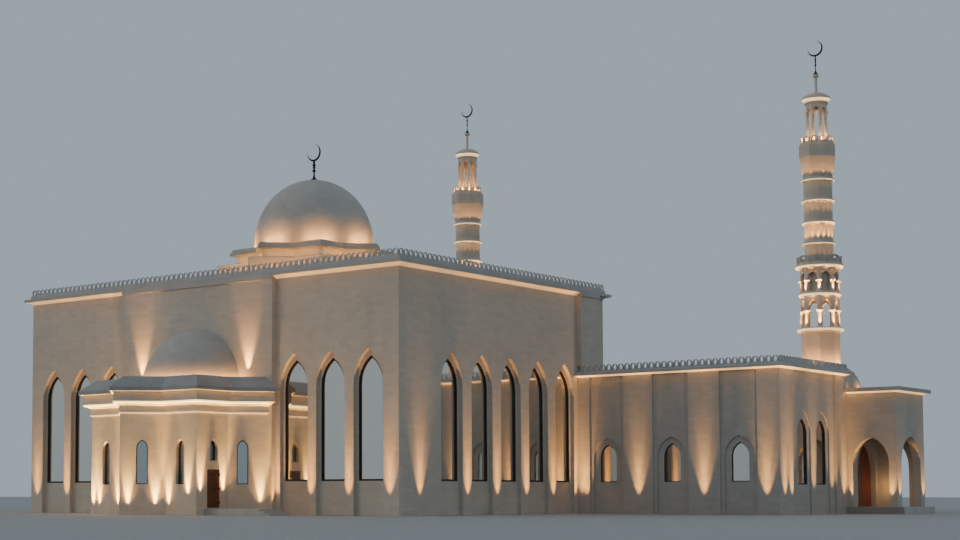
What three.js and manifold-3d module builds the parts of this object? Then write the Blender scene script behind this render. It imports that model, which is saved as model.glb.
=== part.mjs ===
// A mosque at half size: a tall domed prayer hall with a star-shaped niche room on its front,
// lower wings with open porches, a walled court behind and two minarets at its rear corners.
// Sizes below are those of the real building, in metres. Origin: on the ground under the dome.
// X runs to the right along the front, Y to the back, Z up.
import * as THREE from "three";
import * as BufferGeometryUtils from "three/addons/utils/BufferGeometryUtils.js";
import Module from "manifold-3d";

const wasm = await Module();
wasm.setup();

// One metre of the real building is 500 mm here.
const mmPerMetre = 500;
// Small gap where a piece meets its neighbour on a slanting or round face: 0.3 mm here.
const seatGap = 0.0006;
const floorTop = 0.5;

// Prayer hall
const hallHalfWidth = 18.2;
const hallHalfDepth = 12.8;
const hallWallThickness = 0.75;
const frontBay = { halfWidth: 7.5, reach: 0.4 };
const rearPart = { front: 9, rear: 11.6, reach: 0.4 };
const projectionTop = 16.5;
const hallWallTop = 16.25;
const hallRoofTop = 16.7;
const hallParapetTop = 17.46;
const corniceOverhang = 0.5;
const cornicePlateTop = 0.45;
const corniceCoveRise = 0.25;
const corniceSeat = 0.35;
const parapetOuter = 0.15;
const parapetInner = -0.05;
const hallWindow = {
  nicheHalfWidth: 1.25, nicheDepth: 0.3, holeHalfWidth: 1.05,
  sill: 2.3, spring: 8.75, nicheApex: 11.05, holeApex: 10.6,
};
const frontWindowCentres = [9.15, 12.4, 15.65];
const sideWindowFirst = -6.95;
const sideWindowPitch = 3.55;
const sideWindowCount = 5;
const innerDoorway = { halfWidth: 1.4, spring: 3.5, apex: 5.4 };
const hallRearDoorways = [-9, 0, 9];
const glassThickness = 0.05;

// Drum and dome
const domeRadius = 4.65;
const domeShell = 0.35;
const drumTop = 20.35;
const domeSpring = 20.85;
const domeApex = 25.9;
const drumHalfSide = 4.25;
const drumTier = { reach: 1.1, top: 19.1 };
const drumOpeningRadius = 4.2;

// Niche room: half of an eight-pointed star on the front wall
const apseHalfSide = 5.2;
const apseWallThickness = 0.5;
const apseWallTop = 6.95;
const apseEaveBottom = 8.45;
const apseCopingTop = 9.5;
const apseDeckTop = 9.3;
const apseWindow = { halfWidth: 0.4, sill: 2.1, spring: 4.55, apex: 5.15 };
const apseDoor = { centreY: -16.55, halfWidth: 0.6, top: 3.1, thickness: 0.08, clearance: 0.02 };
const apseDoorWindow = { halfWidth: 0.4, sill: 3.7, spring: 4.55, apex: 5.15 };
const apseCentreY = -13;
const halfDome = { radius: 4.55, shell: 0.25, centreZ: 8.5 };
const landing = { length: 5, front: -17.4, back: -15.3, top: 0.45, steps: 2, tread: 0.4 };

// Wings and the low gallery behind them
const wingHalfWidth = 34.3;
const wingFront = 9;
const wingRear = 20.3;
const galleryRear = 25.6;
const wingWallThickness = 0.6;
const wingWallTop = 10.1;
const wingRoofTop = 10.5;
const wingParapetTop = 11;
const wingOverhang = 0.45;
const wingCoveRise = 0.12;
const wingCorniceSeat = 0.25;
const wingWindowCentres = [20.65, 25.9, 31.2];
const wingPanel = { halfWidth: 1.42, depth: 0.15 };
const wingWindow = {
  nicheHalfWidth: 1.15, nicheDepth: 0.3, holeHalfWidth: 0.68,
  sill: 2.3, spring: 4.1, nicheApex: 5.55, holeApex: 5.08,
};
const endPanel = { centre: 14.68, halfWidth: 3.64 };
const endLancet = {
  offset: 1.575, nicheHalfWidth: 1.18, nicheDepth: 0.25, holeHalfWidth: 0.77,
  sill: 2.1, spring: 5.75, nicheApex: 7.35, holeApex: 6.75,
};
const wingGlassTop = 7;
const galleryWallTop = 8.8;
const galleryRoofTop = 9.2;
const galleryDome = { x: 31.95, y: 22.95, radius: 2.2, shell: 0.2, spring: 9.3, apex: 11.35 };
const rearDoorways = [-20.8, -10.4, 0, 10.4, 20.8];
const courtDoorways = [-10.4, 0, 10.4];
const rearBlindNiches = [26, 31.2];

// Porches at the ends of the gallery, with their doorways
const porchHalfWidth = 38;
const porchPlinth = { side: 0.6, front: 0.3 };
const porchFrontArch = { centre: 36.05, halfWidth: 1.35, spring: 3.75, apex: 5.6 };
const porchRearArch = { centre: 36.35, halfWidth: 0.7, spring: 3.4, apex: 5.3 };
const porchSideArch = { centre: 23, halfWidth: 1.85, spring: 3.6, apex: 5.65 };
const porchDoor = {
  centre: 22.85, halfWidth: 1.7, spring: 3, apex: 5.3, thickness: 0.08, clearance: 0.02,
};
// The wall that holds the porch door stands a little further out than the wing's end wall.
const doorWall = { inner: 34.22, outer: 34.7 };
const doorArchSteps = 6;
// Hinge barrels: they stand 0.3 mm off the wall face that carries them.
const hinge = { radius: 0.03, height: 0.16, beyondEdge: 0.01, leafLap: 0.16 };
const porchHingeHeights = [1, 1.85, 2.7];
const apseHingeHeights = [0.85, 1.8, 2.75];

// Court
const courtHalfWidth = 22.4;
const courtRear = 51.3;
const courtWallThickness = 0.6;
const courtWallTop = 7.5;
const courtFloorTop = 0.3;
const courtNicheCentres = [30.4, 35.6, 40.8];
const courtGate = { halfWidth: 1.6, spring: 3.6, apex: 5.5 };

// Minarets
const minaretX = 19.9;
const minaretY = 48.8;
const minaretBaseHalf = 2.5;
const minaretShoulder = { bottom: 10.6, top: 12.6, topHalf: 1.75 };
const minaretOctagonRadius = 1.73;
const minaretBaseTop = 16.25;
const minaretSides = 8;
const minaretShaftRadius = 1.29;
const minaretInnerRadius = 0.95;
const galleryLevels = {
  ledgeTop: 16.7, lowerSpring: 18.6, lowerApex: 19.25, middleBottom: 19.5, middleTop: 20.05,
  upperSpring: 21.35, upperApex: 21.9, upperBottom: 22.1, upperTop: 22.7, parapetTop: 23.5,
};
const galleryLedge = { lower: 2.08, middle: 1.88, upper: 2.14 };
const galleryArchHalfWidth = 0.46;
const shaftRings = [24.3, 26.25, 28.3, 30.25];
const shaftRing = { height: 0.45, radius: 1.48 };
const shaftTop = 30.9;
const collar = { bandBottom: 32.65, bandTop: 34, radius: 1.74, parapetRadius: 1.47, parapetTop: 34.6 };
const lantern = { radius: 1.02, wall: 0.22, archHalfWidth: 0.21, spring: 37, apex: 37.4, top: 37.75 };
const lanternRing = { radius: 1.39, bottom: 38, top: 38.3 };
const capTop = 38.85;
const stoneSpike = { radius: 0.12, knobRadius: 0.29, top: 40.6 };
const crescentPlate = 0.1;

const colours = {
  wallStone: "#b5a898", trimStone: "#a09a92", copingStone: "#7c7f85", domeStone: "#aba39a",
  floorStone: "#8d8780", paleStone: "#c2b4a2", darkMetal: "#1c1e22", doorWood: "#6e3a24",
  darkWood: "#43241c", glass: "#7f8d92",
};

const building = new THREE.Group();

// Turns a closed three.js geometry in metres into a solid in millimetres. Its corners go to the
// nearest 1/256 mm, which 32-bit numbers hold exactly, so that neighbours touch without overlap.
function toSolid(geometry) {
  const bare = geometry.clone();
  bare.deleteAttribute("normal");
  bare.deleteAttribute("uv");
  const corners = bare.attributes.position;
  corners.array.forEach((value, i) => {
    corners.array[i] = Math.round(value * mmPerMetre * 256) / 256;
  });
  const merged = BufferGeometryUtils.mergeVertices(bare, 1e-3);
  return new wasm.Manifold(new wasm.Mesh({
    numProp: 3,
    vertProperties: Float32Array.from(merged.attributes.position.array),
    triVerts: Uint32Array.from(merged.index.array),
  }));
}

// Adds a solid to a group as a named mesh with a material of its own.
function addPiece(group, name, solid, colour, roughness = 0.85, metalness = 0) {
  const data = solid.getMesh();
  const geometry = new THREE.BufferGeometry();
  geometry.setAttribute("position", new THREE.BufferAttribute(Float32Array.from(data.vertProperties), 3));
  geometry.setIndex(new THREE.BufferAttribute(Uint32Array.from(data.triVerts), 1));
  geometry.computeVertexNormals();
  const material = new THREE.MeshStandardMaterial({ color: colour, roughness, metalness });
  const mesh = new THREE.Mesh(geometry, material);
  mesh.name = name;
  group.add(mesh);
  return mesh;
}

function joined(solids) {
  return solids.reduce((whole, solid) => whole.add(solid));
}

function without(solid, cutters) {
  return cutters.reduce((rest, cutter) => rest.subtract(cutter), solid);
}

function box(x0, x1, y0, y1, z0, z1) {
  const geometry = new THREE.BoxGeometry(x1 - x0, y1 - y0, z1 - z0);
  geometry.translate((x0 + x1) / 2, (y0 + y1) / 2, (z0 + z1) / 2);
  return toSolid(geometry);
}

// An upright prism over an outline of [x, y] points.
function prism(outline, z0, z1) {
  const shape = new THREE.Shape(outline.map(([x, y]) => new THREE.Vector2(x, y)));
  const geometry = new THREE.ExtrudeGeometry(shape, { depth: z1 - z0, bevelEnabled: false });
  geometry.translate(0, 0, z0);
  return toSolid(geometry);
}

// A solid of revolution about Z from [radius, z] points, first and last on the axis or closed.
function turned(profile, segments) {
  const points = profile.map(([radius, z]) => new THREE.Vector2(radius, z));
  const geometry = new THREE.LatheGeometry(points, segments);
  geometry.rotateX(Math.PI / 2);
  return toSolid(geometry);
}

// A two-centred pointed arch over two uprights, as [across, up] points.
function pointedOutline(halfWidth, bottom, spring, apex, steps = 5) {
  const rise = apex - spring;
  const radius = (halfWidth * halfWidth + rise * rise) / (2 * halfWidth);
  const centre = radius - halfWidth;
  const topAngle = Math.acos(-centre / radius);
  const points = [[-halfWidth, bottom], [halfWidth, bottom]];
  for (let k = 0; k <= steps; k++) {
    const angle = (Math.PI - topAngle) * (k / steps);
    points.push([-centre + radius * Math.cos(angle), spring + radius * Math.sin(angle)]);
  }
  for (let k = steps - 1; k >= 0; k--) {
    const angle = (Math.PI - topAngle) * (k / steps);
    points.push([centre - radius * Math.cos(angle), spring + radius * Math.sin(angle)]);
  }
  return points;
}

// Apex of the arch that keeps an even distance inside another one.
function insetApex(halfWidth, spring, apex, inset) {
  const rise = apex - spring;
  const radius = (halfWidth * halfWidth + rise * rise) / (2 * halfWidth);
  return spring + Math.sqrt((radius - inset) ** 2 - (radius - halfWidth) ** 2);
}

// Pushes an outline through a wall face at (x, y). Facing 0 looks to -Y, 90 to +X, 180 to +Y.
function through(outline, x, y, facing, outside, inside) {
  const shape = new THREE.Shape(outline.map(([across, up]) => new THREE.Vector2(across, up)));
  const geometry = new THREE.ExtrudeGeometry(shape, { depth: outside + inside, bevelEnabled: false });
  geometry.rotateX(Math.PI / 2);
  geometry.translate(0, inside, 0);
  geometry.rotateZ(THREE.MathUtils.degToRad(facing));
  geometry.translate(x, y, 0);
  return toSolid(geometry);
}

// Points of a plan path moved to the right of travel by a distance, with mitred corners.
function offsetPath(path, distance, closed) {
  const count = path.length;
  const normals = path.map(([x, y], i) => {
    const [nextX, nextY] = path[(i + 1) % count];
    const length = Math.hypot(nextX - x, nextY - y);
    return [(nextY - y) / length, -(nextX - x) / length];
  });
  return path.map(([x, y], i) => {
    const before = normals[(closed || i > 0) ? (i + count - 1) % count : 0];
    const after = normals[(closed || i < count - 1) ? i : count - 2];
    const share = distance / (1 + before[0] * after[0] + before[1] * after[1]);
    return [x + (before[0] + after[0]) * share, y + (before[1] + after[1]) * share];
  });
}

// Carries a closed profile of [offset, z] points, anticlockwise, along a plan path.
function swept(path, profile, closed = false) {
  const rings = profile.map(([offset]) => offsetPath(path, offset, closed));
  const positions = [];
  for (let i = 0; i < path.length; i++) {
    profile.forEach(([, z], j) => positions.push(rings[j][i][0], rings[j][i][1], z));
  }
  const count = profile.length;
  const indices = [];
  const spans = closed ? path.length : path.length - 1;
  for (let i = 0; i < spans; i++) {
    const here = i * count;
    const next = ((i + 1) % path.length) * count;
    for (let j = 0; j < count; j++) {
      const k = (j + 1) % count;
      indices.push(here + j, next + j, here + k, here + k, next + j, next + k);
    }
  }
  if (!closed) {
    const contour = profile.map(([offset, z]) => new THREE.Vector2(offset, z));
    const last = (path.length - 1) * count;
    for (const [a, b, c] of THREE.ShapeUtils.triangulateShape(contour, [])) {
      indices.push(a, b, c, last + a, last + c, last + b);
    }
  }
  const geometry = new THREE.BufferGeometry();
  geometry.setAttribute("position", new THREE.Float32BufferAttribute(positions, 3));
  geometry.setIndex(indices);
  return toSolid(geometry);
}

// A hollow moulding under a cornice, from the wall face out to the overhang.
function covePoints(wallTop, overhang, rise, steps = 3) {
  const points = [];
  for (let k = 0; k <= steps; k++) {
    const angle = (Math.PI / 2) * (k / steps);
    points.push([overhang * (1 - Math.cos(angle)), wallTop + rise * Math.sin(angle)]);
  }
  return points;
}

// A hinge barrel on its axis with a flap lapping onto the leaf. Along is the way the leaf runs
// in Y, towards the way to the leaf's face in X.
function hingeBarrel(x, y, along, z, towards) {
  const low = z - hinge.height / 2;
  const barrel = turned([
    [0, low], [hinge.radius, low], [hinge.radius, low + hinge.height], [0, low + hinge.height],
  ], 12).translate(x * mmPerMetre, y * mmPerMetre, 0);
  const flap = (reach, start) => {
    const xs = [x - towards * 0.02, x + towards * reach].sort((a, b) => a - b);
    const ys = [y + along * start, y + along * hinge.leafLap].sort((a, b) => a - b);
    return box(xs[0], xs[1], ys[0], ys[1], low, low + hinge.height);
  };
  return joined([barrel, flap(0.02, 0), flap(0.04, hinge.beyondEdge + porchDoor.clearance)]);
}

function rectanglePath(halfWidth, halfDepth) {
  return [
    [-halfWidth, -halfDepth], [halfWidth, -halfDepth], [halfWidth, halfDepth], [-halfWidth, halfDepth],
  ];
}

// The sixteen corners of an eight-pointed star made of two squares, anticlockwise.
function starPath(halfSide) {
  const points = [];
  for (let k = 0; k < 8; k++) {
    const tip = THREE.MathUtils.degToRad(45 * k);
    const notch = THREE.MathUtils.degToRad(45 * k + 22.5);
    const notchRadius = halfSide / Math.cos(Math.PI / 8);
    points.push([halfSide * Math.SQRT2 * Math.cos(tip), halfSide * Math.SQRT2 * Math.sin(tip)]);
    points.push([notchRadius * Math.cos(notch), notchRadius * Math.sin(notch)]);
  }
  return points;
}

// A regular polygon; a phase of a half turns flat sides towards X and Y, none turns corners there.
function polygonPath(radius, sides, phase = 0.5) {
  const points = [];
  for (let k = 0; k < sides; k++) {
    const angle = (2 * Math.PI * (k + phase)) / sides;
    points.push([radius * Math.cos(angle), radius * Math.sin(angle)]);
  }
  return points;
}

// Niche and window hole of one tall hall window.
function hallWindowCuts(x, y, facing) {
  const w = hallWindow;
  const belowGround = -0.2;
  return [
    through(pointedOutline(w.nicheHalfWidth, belowGround, w.spring, w.nicheApex),
      x, y, facing, 0.2, w.nicheDepth),
    through(pointedOutline(w.holeHalfWidth, w.sill, w.spring, w.holeApex), x, y, facing, 0.2, 1),
  ];
}

function sideWindowCentres() {
  return Array.from({ length: sideWindowCount }, (_, k) => sideWindowFirst + k * sideWindowPitch);
}

// Prayer hall: floor, four walls, roof, cornice and parapet
const hall = new THREE.Group();
building.add(hall);
const innerX = hallHalfWidth - hallWallThickness;
const innerY = hallHalfDepth - hallWallThickness;
addPiece(hall, "hall_floor", box(-innerX, innerX, -innerY, innerY, 0, floorTop), colours.floorStone);

// Part of a projecting stretch at the rear of a side wall, above the wing's roof.
function rearProjection(wallX, sign, z0, z1, setBack) {
  const xs = [wallX, wallX + sign * rearPart.reach].sort((a, b) => a - b);
  return box(xs[0], xs[1], rearPart.front + setBack, rearPart.rear, z0, z1);
}

const frontCuts = frontWindowCentres.flatMap((x) => [
  ...hallWindowCuts(x, -hallHalfDepth, 0),
  ...hallWindowCuts(-x, -hallHalfDepth, 0),
]);
const bayFront = -hallHalfDepth - frontBay.reach;
addPiece(hall, "hall_front_wall", without(joined([
  box(-hallHalfWidth, hallHalfWidth, -hallHalfDepth, -innerY, 0, hallWallTop),
  box(-frontBay.halfWidth, frontBay.halfWidth, bayFront, -hallHalfDepth, 0, hallWallTop),
]), frontCuts), colours.wallStone);
for (const [side, facing] of [["right", 90], ["left", -90]]) {
  const sign = side === "right" ? 1 : -1;
  const cuts = sideWindowCentres().flatMap((y) => hallWindowCuts(sign * hallHalfWidth, y, facing));
  const x0 = Math.min(sign * innerX, sign * hallHalfWidth);
  const x1 = Math.max(sign * innerX, sign * hallHalfWidth);
  const outerX = sign * hallHalfWidth;
  addPiece(hall, `hall_${side}_wall`, without(joined([
    box(x0, x1, -innerY, innerY, 0, hallWallTop),
    rearProjection(outerX, sign, wingParapetTop, hallWallTop, 0),
    rearProjection(outerX, sign, wingRoofTop, wingParapetTop, 0.1),
  ]), cuts), colours.wallStone);
}
const innerDoorwayOutline = pointedOutline(
  innerDoorway.halfWidth, floorTop, innerDoorway.spring, innerDoorway.apex, 3);
addPiece(hall, "hall_rear_wall", without(
  box(-hallHalfWidth, hallHalfWidth, innerY, hallHalfDepth, 0, hallWallTop),
  hallRearDoorways.map((x) => through(innerDoorwayOutline, x, hallHalfDepth, 180, 0.2, 1)),
), colours.wallStone);

const hallPath = rectanglePath(hallHalfWidth, hallHalfDepth);
addPiece(hall, "hall_cornice", swept(hallPath, [
  [-corniceSeat, hallWallTop],
  ...covePoints(hallWallTop, corniceOverhang, corniceCoveRise),
  [corniceOverhang, hallWallTop + cornicePlateTop],
  [-corniceSeat, hallWallTop + cornicePlateTop],
], true).add(joined([
  box(-frontBay.halfWidth, frontBay.halfWidth, -hallHalfDepth - corniceOverhang, -hallHalfDepth,
    hallWallTop, projectionTop),
  box(hallHalfWidth, hallHalfWidth + corniceOverhang, rearPart.front, rearPart.rear,
    hallWallTop, projectionTop),
  box(-hallHalfWidth - corniceOverhang, -hallHalfWidth, rearPart.front, rearPart.rear,
    hallWallTop, projectionTop),
])), colours.trimStone);
addPiece(hall, "hall_parapet", swept(hallPath, [
  [parapetInner, hallRoofTop], [parapetOuter, hallRoofTop],
  [parapetOuter, hallParapetTop], [parapetInner, hallParapetTop],
], true), colours.trimStone);
const domeOpening = turned([
  [0, hallWallTop - 1], [drumOpeningRadius, hallWallTop - 1],
  [drumOpeningRadius, drumTop + 1], [0, drumTop + 1],
], 24);
addPiece(hall, "hall_roof", box(
  -hallHalfWidth + corniceSeat, hallHalfWidth - corniceSeat,
  -hallHalfDepth + corniceSeat, hallHalfDepth - corniceSeat, hallWallTop, hallRoofTop,
).subtract(domeOpening), colours.floorStone);

// Star-shaped drum with its lit lower tier and sloping coping, dome and finial
const drumProfile = [
  [-0.4, hallRoofTop], [drumTier.reach, hallRoofTop], [drumTier.reach, drumTier.top], [0, 19.3], [0, 19.85],
  [0.4, 19.85], [0.4, 19.95], [0.2, drumTop], [-0.4, drumTop],
];
addPiece(hall, "dome_drum", swept(starPath(drumHalfSide), drumProfile, true)
  .add(prism(starPath(drumHalfSide), 20.05, drumTop))
  .subtract(domeOpening), colours.copingStone);

function domeShellSolid(radius, shell, base, spring, apex, rows, segments) {
  const outer = [[radius, base]];
  const inner = [[radius - shell, base]];
  for (let k = 0; k < rows; k++) {
    const angle = (Math.PI / 2) * (k / rows);
    outer.push([radius * Math.cos(angle), spring + (apex - spring) * Math.sin(angle)]);
    inner.push([(radius - shell) * Math.cos(angle), spring + (apex - shell - spring) * Math.sin(angle)]);
  }
  return turned([[0, apex - shell], ...inner.reverse(), ...outer, [0, apex]], segments);
}
addPiece(hall, "main_dome", domeShellSolid(
  domeRadius, domeShell, drumTop, domeSpring, domeApex, 8, 32,
), colours.domeStone);

// A flat crescent standing in the X-Z plane, open towards the upper left: one circle less another.
function crescent(radius, centreZ) {
  const innerRadius = radius * 0.88;
  const shift = radius * 0.15;
  const opening = THREE.MathUtils.degToRad(125);
  const tipCosine = (innerRadius ** 2 - radius ** 2 - shift ** 2) / (2 * radius * shift);
  const outerTip = Math.acos(tipCosine);
  const innerTip = Math.atan2(radius * Math.sin(outerTip), radius * tipCosine + shift);
  const centreX = shift * Math.cos(opening);
  const innerZ = centreZ + shift * Math.sin(opening);
  const steps = 10;
  const outline = [];
  for (let k = 0; k <= steps; k++) {
    const angle = opening + Math.PI + outerTip * ((2 * k) / steps - 1);
    outline.push([radius * Math.cos(angle), centreZ + radius * Math.sin(angle)]);
  }
  for (let k = steps - 1; k > 0; k--) {
    const angle = opening + Math.PI + innerTip * ((2 * k) / steps - 1);
    outline.push([centreX + innerRadius * Math.cos(angle), innerZ + innerRadius * Math.sin(angle)]);
  }
  return through(outline, 0, 0, 0, crescentPlate / 2, crescentPlate / 2);
}

// A dark metal finial: bell foot, two beads on a rod and the crescent.
function finial(base, height, footRadius) {
  const rod = footRadius * 0.16;
  const crescentRadius = height * 0.235;
  const level = (share) => base + height * share;
  const stem = turned([
    [0, base], [footRadius, base], [footRadius * 0.75, level(0.06)], [rod * 1.6, level(0.16)],
    [rod, level(0.2)], [rod * 2.4, level(0.27)], [rod, level(0.34)], [rod * 2.1, level(0.4)],
    [rod, level(0.46)], [rod, level(0.56)], [0, level(0.56)],
  ], 12);
  return stem.add(crescent(crescentRadius, base + height - crescentRadius));
}
addPiece(hall, "dome_finial", finial(domeApex + seatGap, 2.87, 0.36), colours.darkMetal, 0.45, 0.8);

// Niche room on the front: half of a star, with a door in its right flank
const apse = new THREE.Group();
apse.position.y = apseCentreY * mmPerMetre;
building.add(apse);
const apseNotch = apseHalfSide * Math.tan(Math.PI / 8);
const apseTip = apseHalfSide * Math.SQRT2;
const apseReach = 1;
const apsePath = [
  [-apseTip - apseReach, apseReach], [-apseHalfSide, -apseNotch], [-apseHalfSide, -apseHalfSide],
  [-apseNotch, -apseHalfSide], [0, -apseTip], [apseNotch, -apseHalfSide],
  [apseHalfSide, -apseHalfSide], [apseHalfSide, -apseNotch], [apseTip + apseReach, apseReach],
];
const behindFront = box(-20, 20, bayFront - apseCentreY - seatGap, 5, -1, 20);
const doorY = apseDoor.centreY - apseCentreY;
const apseWallBand = [
  [-apseWallThickness, 0], [0, 0], [0, apseWallTop], [-apseWallThickness, apseWallTop],
];
const apseWindowOutline = pointedOutline(
  apseWindow.halfWidth, apseWindow.sill, apseWindow.spring, apseWindow.apex, 4);
const faceMiddle = (apseHalfSide + apseNotch) / 2;
const slantX = apseNotch / 2;
const slantY = (apseHalfSide + apseTip) / 2;
const leftWindows = [
  [-faceMiddle, -apseHalfSide, 0], [faceMiddle, -apseHalfSide, 0],
  [slantX, -slantY, 45], [-slantX, -slantY, -45],
  [-apseHalfSide, -faceMiddle, -90], [-slantY + 0.35, -slantX - 0.35, -45],
].map(([x, y, facing]) => through(apseWindowOutline, x, y, facing, 0.3, 0.9));
const doorFront = doorY - apseDoor.halfWidth;
const doorBack = doorY + apseDoor.halfWidth;
const leftWallPath = [...apsePath.slice(0, 7), [apseHalfSide, doorFront]];
addPiece(apse, "apse_left_wall", without(swept(leftWallPath, apseWallBand), [behindFront, ...leftWindows]),
  colours.paleStone);
const rightWallPath = [[apseHalfSide, doorBack], ...apsePath.slice(7)];
addPiece(apse, "apse_right_wall", without(swept(rightWallPath, apseWallBand), [
  behindFront, through(apseWindowOutline, slantY - 0.35, -slantX - 0.35, 45, 0.3, 0.9),
]), colours.paleStone);
addPiece(apse, "apse_door_head", box(
  apseHalfSide - apseWallThickness, apseHalfSide, doorFront, doorBack, apseDoor.top, apseWallTop,
).subtract(through(pointedOutline(
  apseDoorWindow.halfWidth, apseDoorWindow.sill, apseDoorWindow.spring, apseDoorWindow.apex, 4,
), apseHalfSide, doorY, 90, 0.3, 0.9)), colours.paleStone);
addPiece(apse, "apse_floor", prism(
  offsetPath(apsePath, -apseWallThickness - seatGap, false), 0, floorTop,
).subtract(behindFront).add(box(
  apseHalfSide - apseWallThickness - seatGap * 2, apseHalfSide,
  doorFront + seatGap, doorBack - seatGap, 0, floorTop,
)), colours.floorStone);
addPiece(apse, "apse_cornice", swept(apsePath, [
  [-apseWallThickness, apseWallTop], [0, apseWallTop], [0.08, 7], [0.08, 7.45], [0.15, 7.5],
  [0.45, 7.75], [0.45, apseEaveBottom], [-apseWallThickness, apseEaveBottom],
]).subtract(behindFront), colours.paleStone);
addPiece(apse, "apse_roof", swept(apsePath, [
  [-0.6, apseEaveBottom], [0.7, apseEaveBottom], [0.7, 8.7], [-0.2, apseCopingTop], [-0.6, apseCopingTop],
]).add(prism(offsetPath(apsePath, -0.4, false), 8.95, apseDeckTop)).subtract(behindFront),
colours.copingStone);
const halfDomeCut = -apseCentreY - hallHalfDepth - frontBay.reach;
addPiece(apse, "apse_half_dome", without(domeShellSolid(
  halfDome.radius, halfDome.shell, halfDome.centreZ,
  halfDome.centreZ, halfDome.centreZ + halfDome.radius, 8, 28,
).translate(0, halfDomeCut * mmPerMetre, 0), [behindFront, box(-20, 20, -20, 5, 0, apseDeckTop)]),
colours.domeStone);
const leafClear = apseDoor.clearance;
const apseHingeX = apseHalfSide + hinge.radius + seatGap;
addPiece(apse, "apse_door", joined([
  box(apseHalfSide - apseDoor.thickness, apseHalfSide, doorFront + leafClear, doorBack - leafClear,
    floorTop + leafClear, apseDoor.top - leafClear),
  ...apseHingeHeights.map((z) => hingeBarrel(apseHingeX, doorBack + hinge.beyondEdge, -1, z, -1)),
]), colours.darkWood, 0.6);
const stepRise = landing.top / (landing.steps + 1);
const landingFront = landing.front - apseCentreY;
const landingBack = landing.back - apseCentreY;
const landingSteps = Array.from({ length: landing.steps }, (_, k) => box(
  apseHalfSide + landing.length, apseHalfSide + landing.length + landing.tread * (k + 1),
  landingFront, landingBack, 0, landing.top - stepRise * (k + 1),
));
addPiece(apse, "apse_landing", joined([
  box(apseHalfSide, apseHalfSide + landing.length, landingFront, landingBack, 0, landing.top),
  ...landingSteps,
]), colours.floorStone);

// Glass: one thin sheet behind each wall's windows
const glassGroup = new THREE.Group();
building.add(glassGroup);
const glassLow = 2;
const glassHigh = 11;
addPiece(glassGroup, "hall_front_glass", box(
  -innerX + 0.1, innerX - 0.1, -innerY, -innerY + glassThickness, glassLow, glassHigh,
), colours.glass, 0.15);
const sideGlassEnd = sideWindowCentres()[sideWindowCount - 1] + hallWindow.nicheHalfWidth;
for (const sign of [1, -1]) {
  const side = sign > 0 ? "right" : "left";
  const x0 = Math.min(sign * innerX, sign * (innerX - glassThickness));
  addPiece(glassGroup, `hall_${side}_glass`, box(
    x0, x0 + glassThickness, sideWindowFirst - hallWindow.nicheHalfWidth, sideGlassEnd, glassLow, glassHigh,
  ), colours.glass, 0.15);
}
const wingInnerX = wingHalfWidth - wingWallThickness;
const wingInnerFront = wingFront + wingWallThickness;
const lancetRear = endPanel.centre + endPanel.halfWidth;
for (const sign of [1, -1]) {
  const side = sign > 0 ? "right" : "left";
  const path = [
    [wingWindowCentres[0] - wingPanel.halfWidth, wingInnerFront],
    [wingInnerX, wingInnerFront], [wingInnerX, lancetRear],
  ];
  const mirrored = sign > 0 ? path : path.map(([x, y]) => [-x, y]).reverse();
  addPiece(glassGroup, `${side}_wing_glass`, swept(mirrored, [
    [-glassThickness, glassLow], [0, glassLow], [0, wingGlassTop], [-glassThickness, wingGlassTop],
  ]), colours.glass, 0.15);
}
const apseGlassPath = offsetPath(leftWallPath, -apseWallThickness - seatGap, false).slice(0, 7);
const apseGlass = swept([...apseGlassPath.slice(0, 6), [
  apseHalfSide - apseWallThickness - seatGap - 0.1, -apseHalfSide + apseWallThickness + seatGap,
]], [[-glassThickness, 2], [0, 2], [0, 5.3], [-glassThickness, 5.3]]).subtract(behindFront);
const apseGlassMesh = addPiece(glassGroup, "apse_glass", apseGlass, colours.glass, 0.15);
apseGlassMesh.position.y = apseCentreY * mmPerMetre;

// Wings: one lower block behind the hall that reaches past it on both sides
const wings = new THREE.Group();
building.add(wings);
const wingPathRight = [[hallHalfWidth, wingFront], [wingHalfWidth, wingFront], [wingHalfWidth, wingRear]];
const wingPath = [...wingPathRight, ...[...wingPathRight].reverse().map(([x, y]) => [-x, y])];
const galleryInnerFront = wingRear + wingWallThickness;
const galleryInnerRear = galleryRear - wingWallThickness;
addPiece(wings, "wing_floor", prism([
  [hallHalfWidth, wingInnerFront], [wingInnerX, wingInnerFront], [wingInnerX, galleryInnerFront],
  [doorWall.inner, galleryInnerFront], [doorWall.inner, galleryInnerRear],
  [-doorWall.inner, galleryInnerRear], [-doorWall.inner, galleryInnerFront],
  [-wingInnerX, galleryInnerFront], [-wingInnerX, wingInnerFront],
  [-hallHalfWidth, wingInnerFront], [-hallHalfWidth, hallHalfDepth], [hallHalfWidth, hallHalfDepth],
], 0, floorTop), colours.floorStone);

function wingWindowCuts(x, y, facing) {
  const w = wingWindow;
  const panel = [
    [-wingPanel.halfWidth, -0.2], [wingPanel.halfWidth, -0.2],
    [wingPanel.halfWidth, wingWallTop + 0.2], [-wingPanel.halfWidth, wingWallTop + 0.2],
  ];
  return [
    through(panel, x, y, facing, 0.2, wingPanel.depth),
    through(pointedOutline(w.nicheHalfWidth, -0.2, w.spring, w.nicheApex, 4),
      x, y, facing, 0.2, w.nicheDepth),
    through(pointedOutline(w.holeHalfWidth, w.sill, w.spring, w.holeApex, 4), x, y, facing, 0.2, 0.9),
  ];
}

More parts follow.
